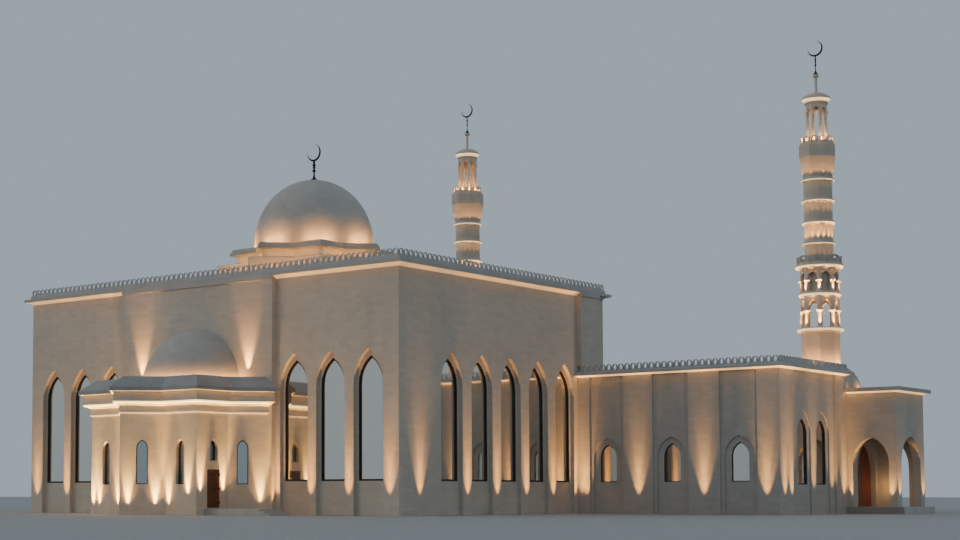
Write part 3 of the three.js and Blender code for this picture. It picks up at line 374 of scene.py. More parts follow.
stoneTones = {"light": (0.6, 0.52, 0.43), "dark": (0.52, 0.45, 0.37)}
domeTones = {"light": (0.5, 0.46, 0.42), "dark": (0.43, 0.395, 0.36), "jointShade": 0.9}
domeBlocks = {"course": 0.42, "block": 1.1}
wallStone = stone("coursed wall stone", **stoneTones)
paleStone = stone("pale coursed stone", (0.63, 0.55, 0.46), (0.56, 0.485, 0.405))
# the wings and the walls behind them get a darker, greyer copy of the wall stone: painted shade for the shadow the
# hall throws on them
shadedWingStone = stone("coursed stone of the wings with painted shade", (0.5, 0.46, 0.41), (0.43, 0.395, 0.35))
shaftStone = stone("tower shaft stone", **stoneTones, coordinates=roundCoordinates(*minaretAt, 1.3))
domeStone = stone("dome stone", **domeTones, **domeBlocks, coordinates=roundCoordinates(0, 0, domeRadius))
halfDomeStone = stone("half dome stone", **domeTones, **domeBlocks,
                      coordinates=roundCoordinates(0, halfDomeY, domeRadius))
smallDomeStone = stone("small dome stone", **domeTones, course=0.35, block=0.9,
                       coordinates=roundCoordinates(*galleryDomeAt, smallDomeRadius))
trimStone = plainStone("trim stone", (0.46, 0.43, 0.4), (0.39, 0.365, 0.34))
parapetStone = plainStone("parapet stone", (0.5, 0.48, 0.455), (0.42, 0.4, 0.38))
loopStone = plainStone("tower loop stone", (0.46, 0.41, 0.36), (0.37, 0.33, 0.29))
# grey stone, made darker still as painted shade for the barely lit outer face of the drum's coping
shadedCopingStone = plainStone("grey coping stone with painted shade", (0.37, 0.355, 0.34), (0.3, 0.285, 0.275))
pavingStone = paving("paving slabs", (0.5, 0.48, 0.45), (0.42, 0.4, 0.37))
darkMetal = metal("dark metal", (0.02, 0.021, 0.026), (0.035, 0.036, 0.042))
frameMetal = metal("brown black window frame", (0.03, 0.024, 0.02), (0.055, 0.04, 0.034), 0.3, (0.45, 0.6))
ironwork = metal("door ironwork", (0.05, 0.04, 0.03), (0.09, 0.07, 0.05), 0.9, (0.3, 0.5))
doorBoards = boards("red brown door boards", (0.2, 0.066, 0.03), (0.12, 0.038, 0.017), 0.2)
darkBoards = boards("dark niche door boards", (0.115, 0.038, 0.022), (0.07, 0.024, 0.014), 0.16)
windowGlass = mirrorGlass("mirror glass", (0.74, 0.69, 0.62))
bronzeGlass = mirrorGlass("bronze mirror glass", (0.68, 0.62, 0.55))
nicheGlass = mirrorGlass("grey mirror glass", (0.45, 0.48, 0.47))
softStrip = lightStrip("soft cove light", (1.0, 0.55, 0.24), 0.45)
warmStrip = lightStrip("warm cove light", (1.0, 0.6, 0.24), 1.0)
creamStrip = lightStrip("cream ring light", (1.0, 0.7, 0.34), 1.5)
eaveStrip = lightStrip("eave light", (1.0, 0.55, 0.22), 1.3)
crownStrip = lightStrip("crown light", (1.0, 0.72, 0.34), 1.5)
brightStrip = lightStrip("bright cove light", (1.0, 0.8, 0.33), 2.6)
footStrip = lightStrip("dome foot light", (1.0, 0.62, 0.3), 9.0)
print("materials made")

finishOf = {
    wallStone: "hall_front_wall hall_left_wall hall_right_wall hall_rear_wall left_minaret_base right_minaret_base",
    shadedWingStone: "left_wing_front_wall right_wing_front_wall left_wing_end_wall right_wing_end_wall wing_rear_wall "
               "gallery_rear_wall court_left_wall court_right_wall court_rear_wall left_porch_walls right_porch_walls",
    paleStone: "apse_left_wall apse_right_wall apse_door_head apse_cornice",
    trimStone: "hall_cornice gallery_roof",
    shadedCopingStone: "apse_roof",
    pavingStone: "hall_floor apse_floor apse_landing wing_floor court_floor hall_roof wing_roof left_porch_floor "
                 "right_porch_floor",
    windowGlass: "hall_front_glass hall_left_glass hall_right_glass left_wing_glass right_wing_glass apse_glass",
}
for material, names in finishOf.items():
    for name in names.split():
        for materialSlot in nodes[name].material_slots:
            materialSlot.material = material

# windows of the hall, the wings and the niche room

hallWindow = {
    "front": [-15.65, -12.4, -9.15, 9.15, 12.4, 15.65], "side": [-6.95, -3.4, 0.15, 3.7, 7.25],
    "halfWidth": 1.05, "sill": 2.3, "spring": 8.75, "apex": 10.6, "frame": 0.07, "lip": 0.05,
    "depths": (0.34, 0.4, 0.745), "pane": 0.46,
}
wingWindow = {
    "centres": (20.65, 25.9, 31.2), "halfWidth": 0.68, "sill": 2.3, "spring": 4.1, "apex": 5.08,
    "frame": 0.035, "lip": 0.025, "depths": (0.37, 0.4, 0.595), "pane": 0.43,
}
endLancet = {
    "centres": (13.105, 16.255), "halfWidth": 0.77, "sill": 2.1, "spring": 5.75, "apex": 6.75,
    "frame": 0.05, "lip": 0.04, "depths": (0.3, 0.35, 0.595), "pane": 0.4,
}
apseWindow = {
    "halfWidth": 0.4, "sill": 2.1, "spring": 4.55, "apex": 5.15, "frame": 0.035, "lip": 0.025,
    "depths": (0.24, 0.28, 0.495), "pane": 0.32,
}


def windowOutline(w, inset):
    # the point of the arch moves in a little further than its sides
    return pointedArch(w["halfWidth"] - inset, w["sill"] + inset, w["spring"], w["apex"] - inset * 1.35, 8)


def framePatches(w, places):
    # two stepped bands of the frame, each set further back than the one outside it
    patches = []
    outlines = [windowOutline(w, inset) for inset in (0, w["frame"], w["frame"] + w["lip"])]
    for place in places:
        for k in range(2):
            patches.append(archRing(outlines[k], outlines[k + 1], -w["depths"][k], -w["depths"][2], *place))
    return patches


def panePatches(w, places):
    # the outer pane of each window, held in the innermost band
    outline = windowOutline(w, w["frame"] + w["lip"] - 0.01)
    depths = w["pane"], w["pane"] + 0.02
    panes = [np.stack([onWall(outline, -depth, *place) for depth in depths]) for place in places]
    return [solidGrid(pane, False) for pane in panes]


def glazed(name, windows, glass):
    # windows: pairs of a window and its places on the walls
    frames = [patch for w, places in windows for patch in framePatches(w, places)]
    panes = [patch for w, places in windows for patch in panePatches(w, places)]
    addPiece(f"{name}_window_frames", frames, frameMetal)
    addPiece(f"{name}_window_panes", panes, glass)


glazed("hall_front", [(hallWindow, alongFront(1, hallWindow["front"], -hallY))], windowGlass)
for side, sign in sides:
    glazed(f"hall_{side}", [(hallWindow, alongSide(sign, hallX, hallWindow["side"]))], windowGlass)
    wingPlaces = alongFront(sign, wingWindow["centres"], wingFrontY)
    glazed(f"{side}_wing", [(wingWindow, wingPlaces), (endLancet, alongSide(sign, wingX, endLancet["centres"]))],
           bronzeGlass)

slant = 5.927      # the middle of the half faces next to the hall
apsePlaces = [
    (-3.677, nicheFrontY, 0), (3.677, nicheFrontY, 0), (1.077, -19.277, 45), (-1.077, -19.277, -45),
    (-nicheHalf, -16.677, -90), (-slant, -14.427, -45), (slant, -14.427, 45),
]
doorWindow = dict(apseWindow, sill=3.7)
glazed("niche", [(apseWindow, apsePlaces), (doorWindow, [(nicheHalf, -16.55, 90)])], nicheGlass)
print("window frames made")

# looped parapets

loop = {
    "pitch": 0.5, "halfWidth": 0.235, "holeWidth": 0.15, "holeHeight": 0.19, "middle": 0.26, "points": 14,
    "thickness": 0.09,
}


def loopRow(start, end, low, height, shape):
    # ring: outside x = w cos a, squared off below the middle; the hole is an oval
    start, end = np.array(start, float), np.array(end, float)
    run = end - start
    length = np.linalg.norm(run)
    count = int(round(length / shape["pitch"]))
    along = run / length
    outward = np.array([along[1], -along[0]])
    angle = 2 * pi * np.arange(shape["points"]) / shape["points"]
    cos, sin = np.cos(angle), np.sin(angle)
    middle = shape["middle"]
    below = sin < -0.01
    squared = lambda v: np.sign(v) * np.abs(v) ** 0.3
    outerAcross = shape["halfWidth"] * np.where(below, squared(cos), cos)
    outerUp = middle + np.where(below, middle * squared(sin), (height - middle) * sin)
    innerAcross, innerUp = shape["holeWidth"] * cos, middle + shape["holeHeight"] * sin
    half = shape["thickness"] / 2
    across = np.stack([outerAcross, innerAcross, innerAcross, outerAcross], 1)
    up = low + np.stack([outerUp, innerUp, innerUp, outerUp], 1)
    out = np.array([half, half, -half, -half])[None, :]
    at = start + along * ((np.arange(count) + 0.5)[:, None] * length / count)
    plan = at[:, None, None, :] + across[None, ..., None] * along + (out[..., None] * outward)[None]
    upright = np.broadcast_to(up[None], plan.shape[:3])
    return copies(np.concatenate([plan, upright[..., None]], -1), True)


def cornersAt(halfX, halfY, offset):
    x, y = halfX + offset, halfY + offset
    return [(-x, -y), (x, -y), (x, y), (-x, y)]


hallParapet = {"middle": 0.05, "low": 16.7, "band": 17.0, "top": 17.46, "pitch": (0.49, 0.525)}
corners = cornersAt(hallX, hallY, hallParapet["middle"])
low, high = hallParapet["low"], hallParapet["band"]
rows = [loopRow(corners[k], corners[(k + 1) % 4], high - 0.02, hallParapet["top"] - high + 0.02,
                dict(loop, pitch=hallParapet["pitch"][k % 2])) for k in range(4)]
profile = [[-0.05, low], [0.15, low], [0.15, high - 0.03], [0.12, high], [-0.02, high], [-0.05, high - 0.03]]
band = carried(cornersAt(hallX, hallY, 0), profile, True)
addPiece("hall_parapet_loops", rows + [band], parapetStone, replaced=["hall_parapet"])


def quarterCove(wallTop, overhang, rise, steps=8):
    # the quarter of an ellipse from the wall's head out to the overhang
    a = np.linspace(0, pi / 2, steps + 1)
    return np.stack([overhang * (1 - np.cos(a)), wallTop + rise * np.sin(a)], 1)


def coveLight(path, wallTop, overhang, rise):
    # a thin lit skin on the hollow of the moulding
    thickness = 0.012
    under = quarterCove(wallTop, overhang, rise)[1:-1]
    return carried(path, np.concatenate([under + [thickness, -thickness], under[::-1]]))


wingParapet = {"middle": 0.05, "low": 10.5, "height": 0.5, "loop": dict(loop, holeWidth=0.12, holeHeight=0.21)}
wingPath = [(hallX, wingFrontY), (wingX, wingFrontY), (wingX, wingBackY)]
wingPath += [(-x, y) for x, y in reversed(wingPath)]
middleLine = offsetPath(np.array(wingPath), [wingParapet["middle"]], False)[:, 0]
rows = [loopRow(a, b, wingParapet["low"], wingParapet["height"], wingParapet["loop"])
        for a, b in zip(middleLine, middleLine[1:])]
wingCove = (10.1, 0.45, 0.12)       # the wall's head, the overhang and the rise
edge = [[0.45, 10.4], [0.41, 10.44], [0.15, 10.48], [0.15, 10.53], [-0.05, 10.53], [-0.05, 10.5], [-0.25, 10.5]]
cornice = np.concatenate([[[-0.25, 10.1]], quarterCove(*wingCove), edge])
rows.append(carried(wingPath, cornice))
addPiece("wing_parapet_loops", rows, parapetStone, replaced=["wing_cornice"])
print("parapets made")

# lit coves

coves = {       # the path on the right side, the sizes of the moulding, the light
    "hall": ([(7.5, -hallY), (hallX, -hallY), (hallX, wingFrontY)], (16.25, 0.5, 0.25), softStrip),
    "wing": ([(18.25, wingFrontY), (wingX, wingFrontY), (wingX, wingBackY)], wingCove, warmStrip),
    "porch": ([(34.35, wingBackY), (porchX, wingBackY), (porchX, porchBackY)], (8.8, 0.45, 0.12), warmStrip),
}
for name, (path, sizes, material) in coves.items():
    mirrored = [(-x, y) for x, y in reversed(path)]
    for side, way in (("right", path), ("left", mirrored)):
        addPiece(f"{name}_{side}_cove_light", [coveLight(way, *sizes)], material)

half = nicheHalf
notch, tip = half * np.tan(pi / 8), half * np.sqrt(2)
apsePath = np.array([
    (-tip + 0.2, -0.2), (-half, -notch), (-half, -half), (-notch, -half), (0, -tip), (notch, -half), (half, -half),
    (half, -notch), (tip - 0.2, -0.2),
]) + [0, nicheY]
nicheLights = {
    "niche_wall_light": ([[0.0, 6.92], [0.095, 6.92], [0.095, 7.01], [0.0, 7.01]], eaveStrip),
    "niche_cove_light": ([[0.3, 7.6], [0.46, 7.66], [0.46, 7.745], [0.3, 7.7]], brightStrip),
    "niche_eave_light": ([[0.56, 8.42], [0.64, 8.42], [0.64, 8.46], [0.56, 8.46]], eaveStrip),
}
for name, (profile, material) in nicheLights.items():
    addPiece(name, [carried(apsePath, profile)], material)
footTape = [[4.7, 9.3], [4.78, 9.3], [4.78, 9.42], [4.7, 9.42]]
addPiece("half_dome_foot_light", [turned(footTape, 0, halfDomeY, 48, 195, 150)], footStrip)
print("cove lights made")

# drum, domes and finials

drum = {
    "halfSide": 4.25, "reach": 1.1, "roof": 16.7, "lowerTop": 19.1, "upperFoot": 19.3, "upperTop": 19.86,
    "top": 20.35,
}


def starPath(halfSide):
    # two squares: tips at half * sqrt 2 every 45 degrees, notches at half / cos 22.5 between them
    k = np.arange(16)
    radius = np.where(k % 2 == 0, halfSide * np.sqrt(2), halfSide / np.cos(pi / 8))
    return np.stack([radius * np.cos(pi * k / 8), radius * np.sin(pi * k / 8)], 1)


d = drum
star = starPath(d["halfSide"])
tiers = [
    [-0.4, d["roof"]], [d["reach"], d["roof"]], [d["reach"], d["lowerTop"] - 0.04],
    [d["reach"] - 0.04, d["lowerTop"]], [0, d["upperFoot"]], [0, d["upperTop"]], [-0.4, d["upperTop"]],
]
coping = [
    [-1.0, 19.95], [0, d["upperTop"]], [0.38, d["upperTop"]], [0.4, 19.9], [0.39, 19.97], [0.2, d["top"]],
    [-1.0, d["top"]],
]
addPiece("drum_tiers", [carried(star, tiers, True)], paleStone, replaced=["dome_drum"])
# the coping's outer face gets its dark look partly from painted shade in its stone
addPiece("drum_coping", [carried(star, coping, True)], shadedCopingStone)


def domeShell(radius, shell, base, spring, apex, rows, segments, x=0.0, y=0.0):
    # quarter of an ellipse over a short upright foot, with an inner face a shell's thickness in
    up = np.linspace(0, pi / 2, rows + 1)
    outside = np.stack([radius * np.cos(up), spring + (apex - spring) * np.sin(up)], 1)
    inside = np.stack([(radius - shell) * np.cos(up), spring + (apex - shell - spring) * np.sin(up)], 1)
    foot = [[radius - shell, base], [radius, base]]
    return turned(np.concatenate([foot, outside, inside[::-1]]), x, y, segments)


dome = {
    "radius": domeRadius, "shell": 0.35, "base": drum["top"], "spring": 20.85, "apex": 25.9, "rows": 28,
    "segments": 96,
}
addPiece("main_dome_shell", [domeShell(**dome)], domeStone, replaced=["main_dome"], weld=True)
smallDome = {
    "radius": smallDomeRadius, "shell": 0.2, "base": 9.2, "spring": 9.3, "apex": 11.35, "rows": 16, "segments": 64,
}
for side, sign in sides:
    shell = domeShell(**smallDome, x=sign * galleryDomeAt[0], y=galleryDomeAt[1])
    addPiece(f"{side}_gallery_dome_shell", [shell], smallDomeStone, replaced=[f"{side}_gallery_dome"],
             weld=True)

halfDome = {
    "radius": domeRadius, "shell": 0.25, "centre": (0.0, halfDomeY, 8.8), "wall": -13.2, "deck": 9.3, "rows": 24,
    "columns": 48,
}


def cutDome(h):
    # slices parallel to the wall, from the wall to the front: radius R cos f, cut off at the deck
    arcs = []
    x, y, z = h["centre"]
    for radius in (h["radius"], h["radius"] - h["shell"]):
        f = np.linspace(np.arcsin((y - h["wall"]) / radius), np.arccos((h["deck"] - z) / radius), h["rows"] + 1)
        sliceRadius = radius * np.cos(f)[:, None]
        low = np.arcsin(np.minimum((h["deck"] - z) / sliceRadius, 1))
        a = low + (pi - 2 * low) * np.linspace(0, 1, h["columns"] + 1)
        depth = y - radius * np.sin(f)[:, None] + 0 * a
        arcs.append(np.stack([x + sliceRadius * np.cos(a), depth, z + sliceRadius * np.sin(a)], -1))
    return solidGrid(np.concatenate([arcs[0], arcs[1][:, ::-1]], 1), False)


addPiece("niche_half_dome_shell", [cutDome(halfDome)], halfDomeStone, replaced=["apse_half_dome"],
         weld=True)


def finialPatches(x, y, base, height, footRadius):
    # stem: bell foot and beads on a rod; crescent: one circle less a smaller, shifted one, rounded in section
    rod = footRadius * 0.16
    levels = np.linspace(0, 0.56, 90)
    bell = (footRadius - rod) * np.exp(-(levels / 0.055) ** 1.3)
    swellings = ((0.27, 1.9), (0.36, 1.2), (0.43, 1.7), (0.5, 0.7))
    beads = sum(rod * growth * np.exp(-((levels - at) / 0.024) ** 2) for at, growth in swellings)
    stem = np.stack([rod + bell + beads, base + height * levels], 1)
    stem = np.concatenate([[[0, base]], stem, [[0, stem[-1, 1]]]])
    radius = height * 0.235
    centreZ = base + height - radius - 0.006
    innerRadius, shift, opening = radius * 0.88, radius * 0.15, radians(125)
    tipCosine = (innerRadius ** 2 - radius ** 2 - shift ** 2) / (2 * radius * shift)
    a = opening + pi + np.arccos(tipCosine) * np.linspace(-0.985, 0.985, 41)
    towards = shift * np.cos(a - opening)
    inner = towards + np.sqrt(np.maximum(towards ** 2 - shift ** 2 + innerRadius ** 2, 0))
    middle, halfWidth = (radius + inner) / 2, np.maximum((radius - inner) / 2, 0.006)
    section = 2 * pi * np.arange(10) / 10
    away = middle[:, None] + halfWidth[:, None] * np.cos(section)
    thick = np.minimum(halfWidth, 0.05)[:, None] * np.sin(section)
    crescent = np.stack([x + away * np.cos(a)[:, None], y + thick, centreZ + away * np.sin(a)[:, None]], -1)
    return [turned(stem, x, y, 20), solidGrid(crescent, False)]


addPiece("dome_finial_crescent", finialPatches(0, 0, dome["apex"], 2.87, 0.36), darkMetal,
         replaced=["dome_finial"], weld=True)
print("domes made")

# minarets

tower = {
    "octagon": 1.73, "inner": 0.9, "column": 0.22,
    # radius, neck, low and high of each ledge
    "ledges": [(2.08, 1.7, 16.25, 16.7), (1.88, 1.64, 19.5, 20.05), (2.14, 1.7, 22.1, 22.7)],
    # floor, capital, spring, apex and top of each storey
    "storeys": [(16.7, 18.3, 18.6, 19.25, 19.5), (20.05, 21.1, 21.35, 21.9, 22.1)],
    "shaft": 1.29, "shaftInner": 0.95, "ring": 1.48, "rings": (24.3, 26.25, 28.3, 30.25), "shaftTop": 30.9,
    "collar": 1.74, "bandBottom": 32.65, "bandTop": 34.0, "lantern": 1.02, "lanternColumn": 0.145,
    "lanternTop": 37.75, "capFoot": 37.72, "tip": 40.6,
    # radius and height along the edge of the lantern's cap
    "cap": [[1.28, 38.17], [1.28, 38.28], [1.18, 38.42], [0.95, 38.58], [0.6, 38.74], [0.12, 38.85], [0.12, 40.2]],
}


def octagonSides(x, y, radius, phase):
    # middle of each side of a regular octagon, with the way it faces
    angle = 2 * pi * (np.arange(8) + phase) / 8
    apothem = radius * np.cos(pi / 8)
    return [(x + apothem * np.cos(a), y + apothem * np.sin(a), np.degrees(a) + 90) for a in angle]


def octagonCorners(x, y, radius, phase):
    angle = 2 * pi * (np.arange(8) + phase) / 8
    return [(x + radius * np.cos(a), y + radius * np.sin(a)) for a in angle]


def archPanel(place, halfWidth, arch, top, thickness):
    # spandrel: the arch line below, and where rays from the arch's foot line meet the panel's edges above
    foot = arch[0, 1]
    ray = arch - [0, foot]
    across, up = np.maximum(np.abs(ray[:, 0]), 1e-6), np.maximum(ray[:, 1], 1e-6)
    reach = np.minimum(halfWidth / across, (top - foot) / up)
    edge = [0, foot] + ray * reach[:, None]
    for corner in (np.array([halfWidth, top]), np.array([-halfWidth, top])):
        edge[np.argmin(np.linalg.norm(edge - corner, axis=1))] = corner
    return archRing(edge, arch, 0.0, -thickness, *place, closed=False)


def column(x, y, low, high, radius, segments):
    # a shaft that narrows a little, with a foot and a capital that flare out
    share = np.linspace(0, 1, 12)
    shaft = radius * (1 - 0.12 * share)
    shaft = shaft + radius * 0.5 * np.exp(-share / 0.03) + radius * 0.75 * np.exp(-(1 - share) / 0.05)
    profile = np.concatenate([[[0, low]], np.stack([shaft, low + (high - low) * share], 1), [[0, high]]])
    return turned(profile, x, y, segments)


def galleryPatches(x, y):
    t = tower
    patches = []
    for radius, neck, low, high in t["ledges"]:
        flare = np.linspace(0, pi / 2, 7)
        under = np.stack([neck + (radius - neck) * (1 - np.cos(flare)), low + 0.25 * np.sin(flare)], 1)
        edge = [[radius, high - 0.05], [radius - 0.05, high], [t["inner"], high]]
        patches.append(turned(np.concatenate([[[t["inner"], low]], under, edge]), x, y, 64))
    halfSide = t["octagon"] * np.sin(pi / 8)
    places, corners = octagonSides(x, y, t["octagon"], 0), octagonCorners(x, y, t["octagon"] - 0.2, 0.5)
    for floor, capital, spring, apex, top in t["storeys"]:
        arch = pointedArch(0.44, capital - 0.05, spring, apex, 7)
        patches += [archPanel(place, halfSide, arch, top + 0.05, 0.28) for place in places]
        patches += [column(*corner, floor - 0.02, capital, t["column"], 14) for corner in corners]
    patches.append(turned([[t["inner"], 20.0], [1.15, 20.0], [1.15, 22.2], [t["inner"], 22.2]], x, y, 48))
    return patches


def ringOfLoops(x, y, radius, low, height, count, holeWidth, holeHeight, middle, thickness):
    # the loops of the parapet bent round a ring: across becomes an angle
    across = 2 * pi * radius / count
    shape = dict(loop, pitch=across, halfWidth=across * 0.47, holeWidth=holeWidth, holeHeight=holeHeight,
                 middle=middle, points=20, thickness=thickness)
    points, faceSets = loopRow((0, 0), (across, 0), low, height, shape)
    angle = (points[:, 0] / radius)[None] + (2 * pi * np.arange(count) / count)[:, None]
    away = radius - points[:, 1]
    bent = around(x, y, away, angle, points[:, 2]).reshape(-1, 3)
    return bent, facingOut(bent, manyTimes(faceSets, count, len(points)))


def shaftPatches(x, y):
    t = tower
    inner, foot, ring = t["shaftInner"], t["ledges"][-1][-1], t["ring"]
    profile = [[inner, foot], [t["shaft"], foot]]
    hollow = quarterCove(0, 0.19, 0.2, 5)
    for z in t["rings"]:
        profile += (hollow + [t["shaft"], z]).tolist()
        profile += [[ring, z + 0.3], [ring - 0.06, z + 0.45], [t["shaft"], z + 0.45]]
    profile += [[t["shaft"], t["shaftTop"]], [inner, t["shaftTop"]]]
    return [turned(profile, x, y, 64), collarPatch(x, y)]


def collarPatch(x, y):
    # rings of 8 corners and 8 side middles; a wedge grows at each corner, between triangles that stand on the shaft
    t = tower
    inner, wide = t["shaftInner"], t["collar"]
    rings = [
        (inner, t["shaftTop"]), (t["shaft"] / np.cos(pi / 8), t["shaftTop"]), (wide, t["bandBottom"]), (wide, 33.7),
        (wide * 0.97, 33.78), (wide * 0.93, t["bandTop"]), (inner, t["bandTop"]),
    ]
    radius, height = np.array(rings).T[:, :, None]
    k = np.arange(16)
    away = radius * np.where(k % 2 == 0, 1, np.cos(pi / 8))
    points = around(x, y, away, pi * k / 8, height).reshape(-1, 3)
    low = (np.arange(len(rings)) * 16)[:, None] + k
    high, nextOf = np.roll(low, -1, 0), lambda rows: np.roll(rows, -1, 1)
    # the diagonal of each cell runs from its corner column below to its middle column above
    lowNext, highNext = nextOf(low), nextOf(high)
    triangles = [(low, lowNext, highNext, 0), (low, highNext, high, 0),
                 (low, lowNext, high, 1), (lowNext, highNext, high, 1)]
    faces = [np.stack([a, b, c], -1)[:, first::2].reshape(-1, 3) for a, b, c, first in triangles]
    return points, facingOut(points, faces)


def crownCove():
    # the hollow under the cap's rim
    return quarterCove(tower["capFoot"], 0.22, 0.42, 7) + [1.05, 0]


def lanternPatches(x, y):
    t = tower
    middle = t["lantern"] - t["lanternColumn"]
    patches = [column(*corner, 33.98, 36.95, t["lanternColumn"], 12) for corner in octagonCorners(x, y, middle, 0)]
    arch = pointedArch(0.21, 36.85, 37.0, 37.4, 6)
    for place in octagonSides(x, y, t["lantern"], 0.5):
        patches.append(archPanel(place, t["lantern"] * np.sin(pi / 8), arch, t["lanternTop"] + 0.03, 0.2))
    crown = [[0, t["capFoot"]]] + crownCove().tolist() + t["cap"]
    knob = np.linspace(-pi / 2, pi / 2, 9)
    bead = np.stack([0.1 + 0.19 * np.cos(knob), 40.42 + 0.16 * np.sin(knob)], 1)
    patches.append(turned(np.concatenate([crown, bead, [[0, t["tip"]]]]), x, y, 48))
    return patches


def lipTape(x, y, radius, z, height):
    # light tape round the lower lip of a ring
    inner, outer = radius - 0.1, radius + 0.008
    return turned([[inner, z], [outer, z], [outer, z + height], [inner, z + height]], x, y, 64)


for side, sign in sides:
    x, y = sign * minaretAt[0], minaretAt[1]
    name = f"{side}_minaret"
    addPiece(f"{name}_arcades", galleryPatches(x, y), paleStone, replaced=[f"{name}_gallery"],
             weld=True)
    loops = [ringOfLoops(x, y, 1.97, 22.68, 0.74, 8, 0.32, 0.19, 0.4, 0.13),
             ringOfLoops(x, y, 1.38, 33.97, 0.6, 12, 0.2, 0.19, 0.32, 0.1)]
    addPiece(f"{name}_loops", loops, loopStone)
    addPiece(f"{name}_column", shaftPatches(x, y), shaftStone, replaced=[f"{name}_shaft"],
             creaseAngle=9, weld=True)
    addPiece(f"{name}_open_lantern", lanternPatches(x, y), paleStone, replaced=[f"{name}_lantern"],
             weld=True)
    addPiece(f"{name}_crescent", finialPatches(x, y, tower["tip"], 3.15, 0.22), darkMetal,
             replaced=[f"{name}_finial"], weld=True)
    tapes = [lipTape(x, y, radius, low + 0.21, 0.15) for radius, neck, low, high in tower["ledges"]]
    tapes += [lipTape(x, y, tower["ring"], z + 0.19, 0.07) for z in tower["rings"]]
    addPiece(f"{name}_ring_lights", tapes, creamStrip)
    skin = crownCove()[2:]
    tape = turned(np.concatenate([skin + [0.012, -0.008], skin[::-1]]), x, y, 64)
    addPiece(f"{name}_crown_light", [tape], crownStrip)
print("minarets made")

# doors

def archHeight(across, halfWidth, spring, apex):
    # height of the pointed arch at each distance from its middle
    rise = apex - spring
    radius = (halfWidth ** 2 + rise ** 2) / (2 * halfWidth)
    return spring + np.sqrt(np.maximum(radius ** 2 - (np.abs(across) + radius - halfWidth) ** 2, 0))


def boardedLeaf(inner, sign, y0, y1, low, top, boardWidth=0.2):
    # a thin backing with boards on both faces; top(y) gives the height of the leaf's head
    thickness, joint, board = 0.08, 0.012, 0.03
    count = max(int(round((y1 - y0) / boardWidth)), 1)
    edge = np.linspace(y0, y1, count + 1)
    left, right = edge[:-1] + joint / 2, edge[1:] - joint / 2
    patches = []
    layers = [(0.0, board, left, right), (thickness - board, thickness, left, right),
              (board - 0.002, thickness - board + 0.002, edge[:-1], edge[1:])]
    for near, far, l, r in layers:
        middle = (l + r) / 2
        outline = [(l, 0 * l + low), (r, 0 * r + low), (r, top(r)), (middle, top(middle)), (l, top(l))]
        faces = [[np.stack([0 * l + inner + sign * depth, y, z], 1) for y, z in outline] for depth in (near, far)]
        patches.append(copies(np.array(faces).transpose(2, 0, 1, 3), False))
    return patches


def barrels(x, y, heights):
    # the round parts of the hinges, with a bevel at both ends
    radius, half = 0.03, 0.08
    upper = np.array([[radius, half - 0.01], [radius * 0.8, half], [0, half]])
    profile = np.concatenate([upper[::-1] * [1, -1], upper])
    return [turned(profile + [0, z], x, y, 16) for z in heights]


porchDoor = {
    "inner": 34.22, "centre": 22.85, "halfWidth": 1.7, "spring": 3.0, "apex": 5.3, "clear": 0.02,
    "hingeHeights": (1, 1.85, 2.7), "strapLength": 1.1,
}
p = porchDoor
headOf = lambda y: archHeight(y - p["centre"], p["halfWidth"] - p["clear"], p["spring"], p["apex"] - 0.03)
closedHalf = p["halfWidth"] - 0.001
closedHead = lambda y: archHeight(y - p["centre"], closedHalf, p["spring"], p["apex"] - 0.001)
for name, along in (("front", 1), ("rear", -1)):
    y0, y1 = sorted((p["centre"] - along * (p["halfWidth"] - p["clear"]), p["centre"] - along * 0.01))
    leaf = boardedLeaf(p["inner"], 1, y0, y1, 0.52, headOf)
    addPiece(f"gallery_door_{name}_boards", leaf, doorBoards, f"gallery_door_{name}",
             [f"right_door_leaf_{name}"])
    hingeY = p["centre"] - along * (p["halfWidth"] + 0.01)
    iron = barrels(p["inner"] - 0.0306, hingeY, p["hingeHeights"])
    strap = sorted((hingeY + along * 0.03, hingeY + along * p["strapLength"]))
    iron += [slab(p["inner"] - 0.045, p["inner"], *strap, z - 0.04, z + 0.04) for z in p["hingeHeights"]]
    addPiece(f"gallery_door_{name}_iron", iron, ironwork, f"gallery_door_{name}", weld=True)
leaf = boardedLeaf(-p["inner"], -1, p["centre"] - closedHalf, p["centre"] + closedHalf, 0.501, closedHead)
addPiece("left_door_boards", leaf, doorBoards, replaced=["left_door"])

nicheDoor = {
    "y0": -17.13, "y1": -15.97, "low": 0.52, "top": 3.08, "inner": 5.12, "hinge": (5.2306, -15.94),
    "hingeHeights": (0.85, 1.8, 2.75),
}
n = nicheDoor
leaf = boardedLeaf(n["inner"], 1, n["y0"], n["y1"], n["low"], lambda y: 0 * y + n["top"], 0.165)
addPiece("niche_door_boards", leaf, darkBoards, "niche_door", ["apse_door"])
hingeX, hingeY = n["hinge"]
iron = barrels(hingeX, hingeY, n["hingeHeights"])
iron += [slab(nicheHalf, nicheHalf + 0.035, hingeY - 0.8, hingeY - 0.03, z - 0.035, z + 0.035) for z in n["hingeHeights"]]
addPiece("niche_door_iron", iron, ironwork, "niche_door", weld=True)
print("doors made")

# lamps

lampColour = (1.0, 0.48, 0.12)


def addLamp(name, kind, power, colour, position, aim, **settings):
    # shines along aim; seen neither itself nor in mirrors
    data = bpy.data.lights.new(name, kind)
    data.energy, data.color = power, colour
    for key, value in settings.items():
        setattr(data, key, value)
    lamp = addObject(name, data)
    lamp.location = Vector(position) * realMetre
    lamp.rotation_mode = "QUATERNION"
    lamp.rotation_quaternion = Vector(aim).to_track_quat("-Z", "Y")
    lamp.visible_camera = False
    lamp.visible_glossy = False


def upAlongWall(x, y, facing, off, low, lean):
    # a place in front of a wall point, and the way up from it, leaning back to the wall
    f = radians(facing)
    out = Vector((np.sin(f), -np.cos(f), 0))
    return (x + out.x * off, y + out.y * off, low), Vector((0, 0, 1)) - out * lean


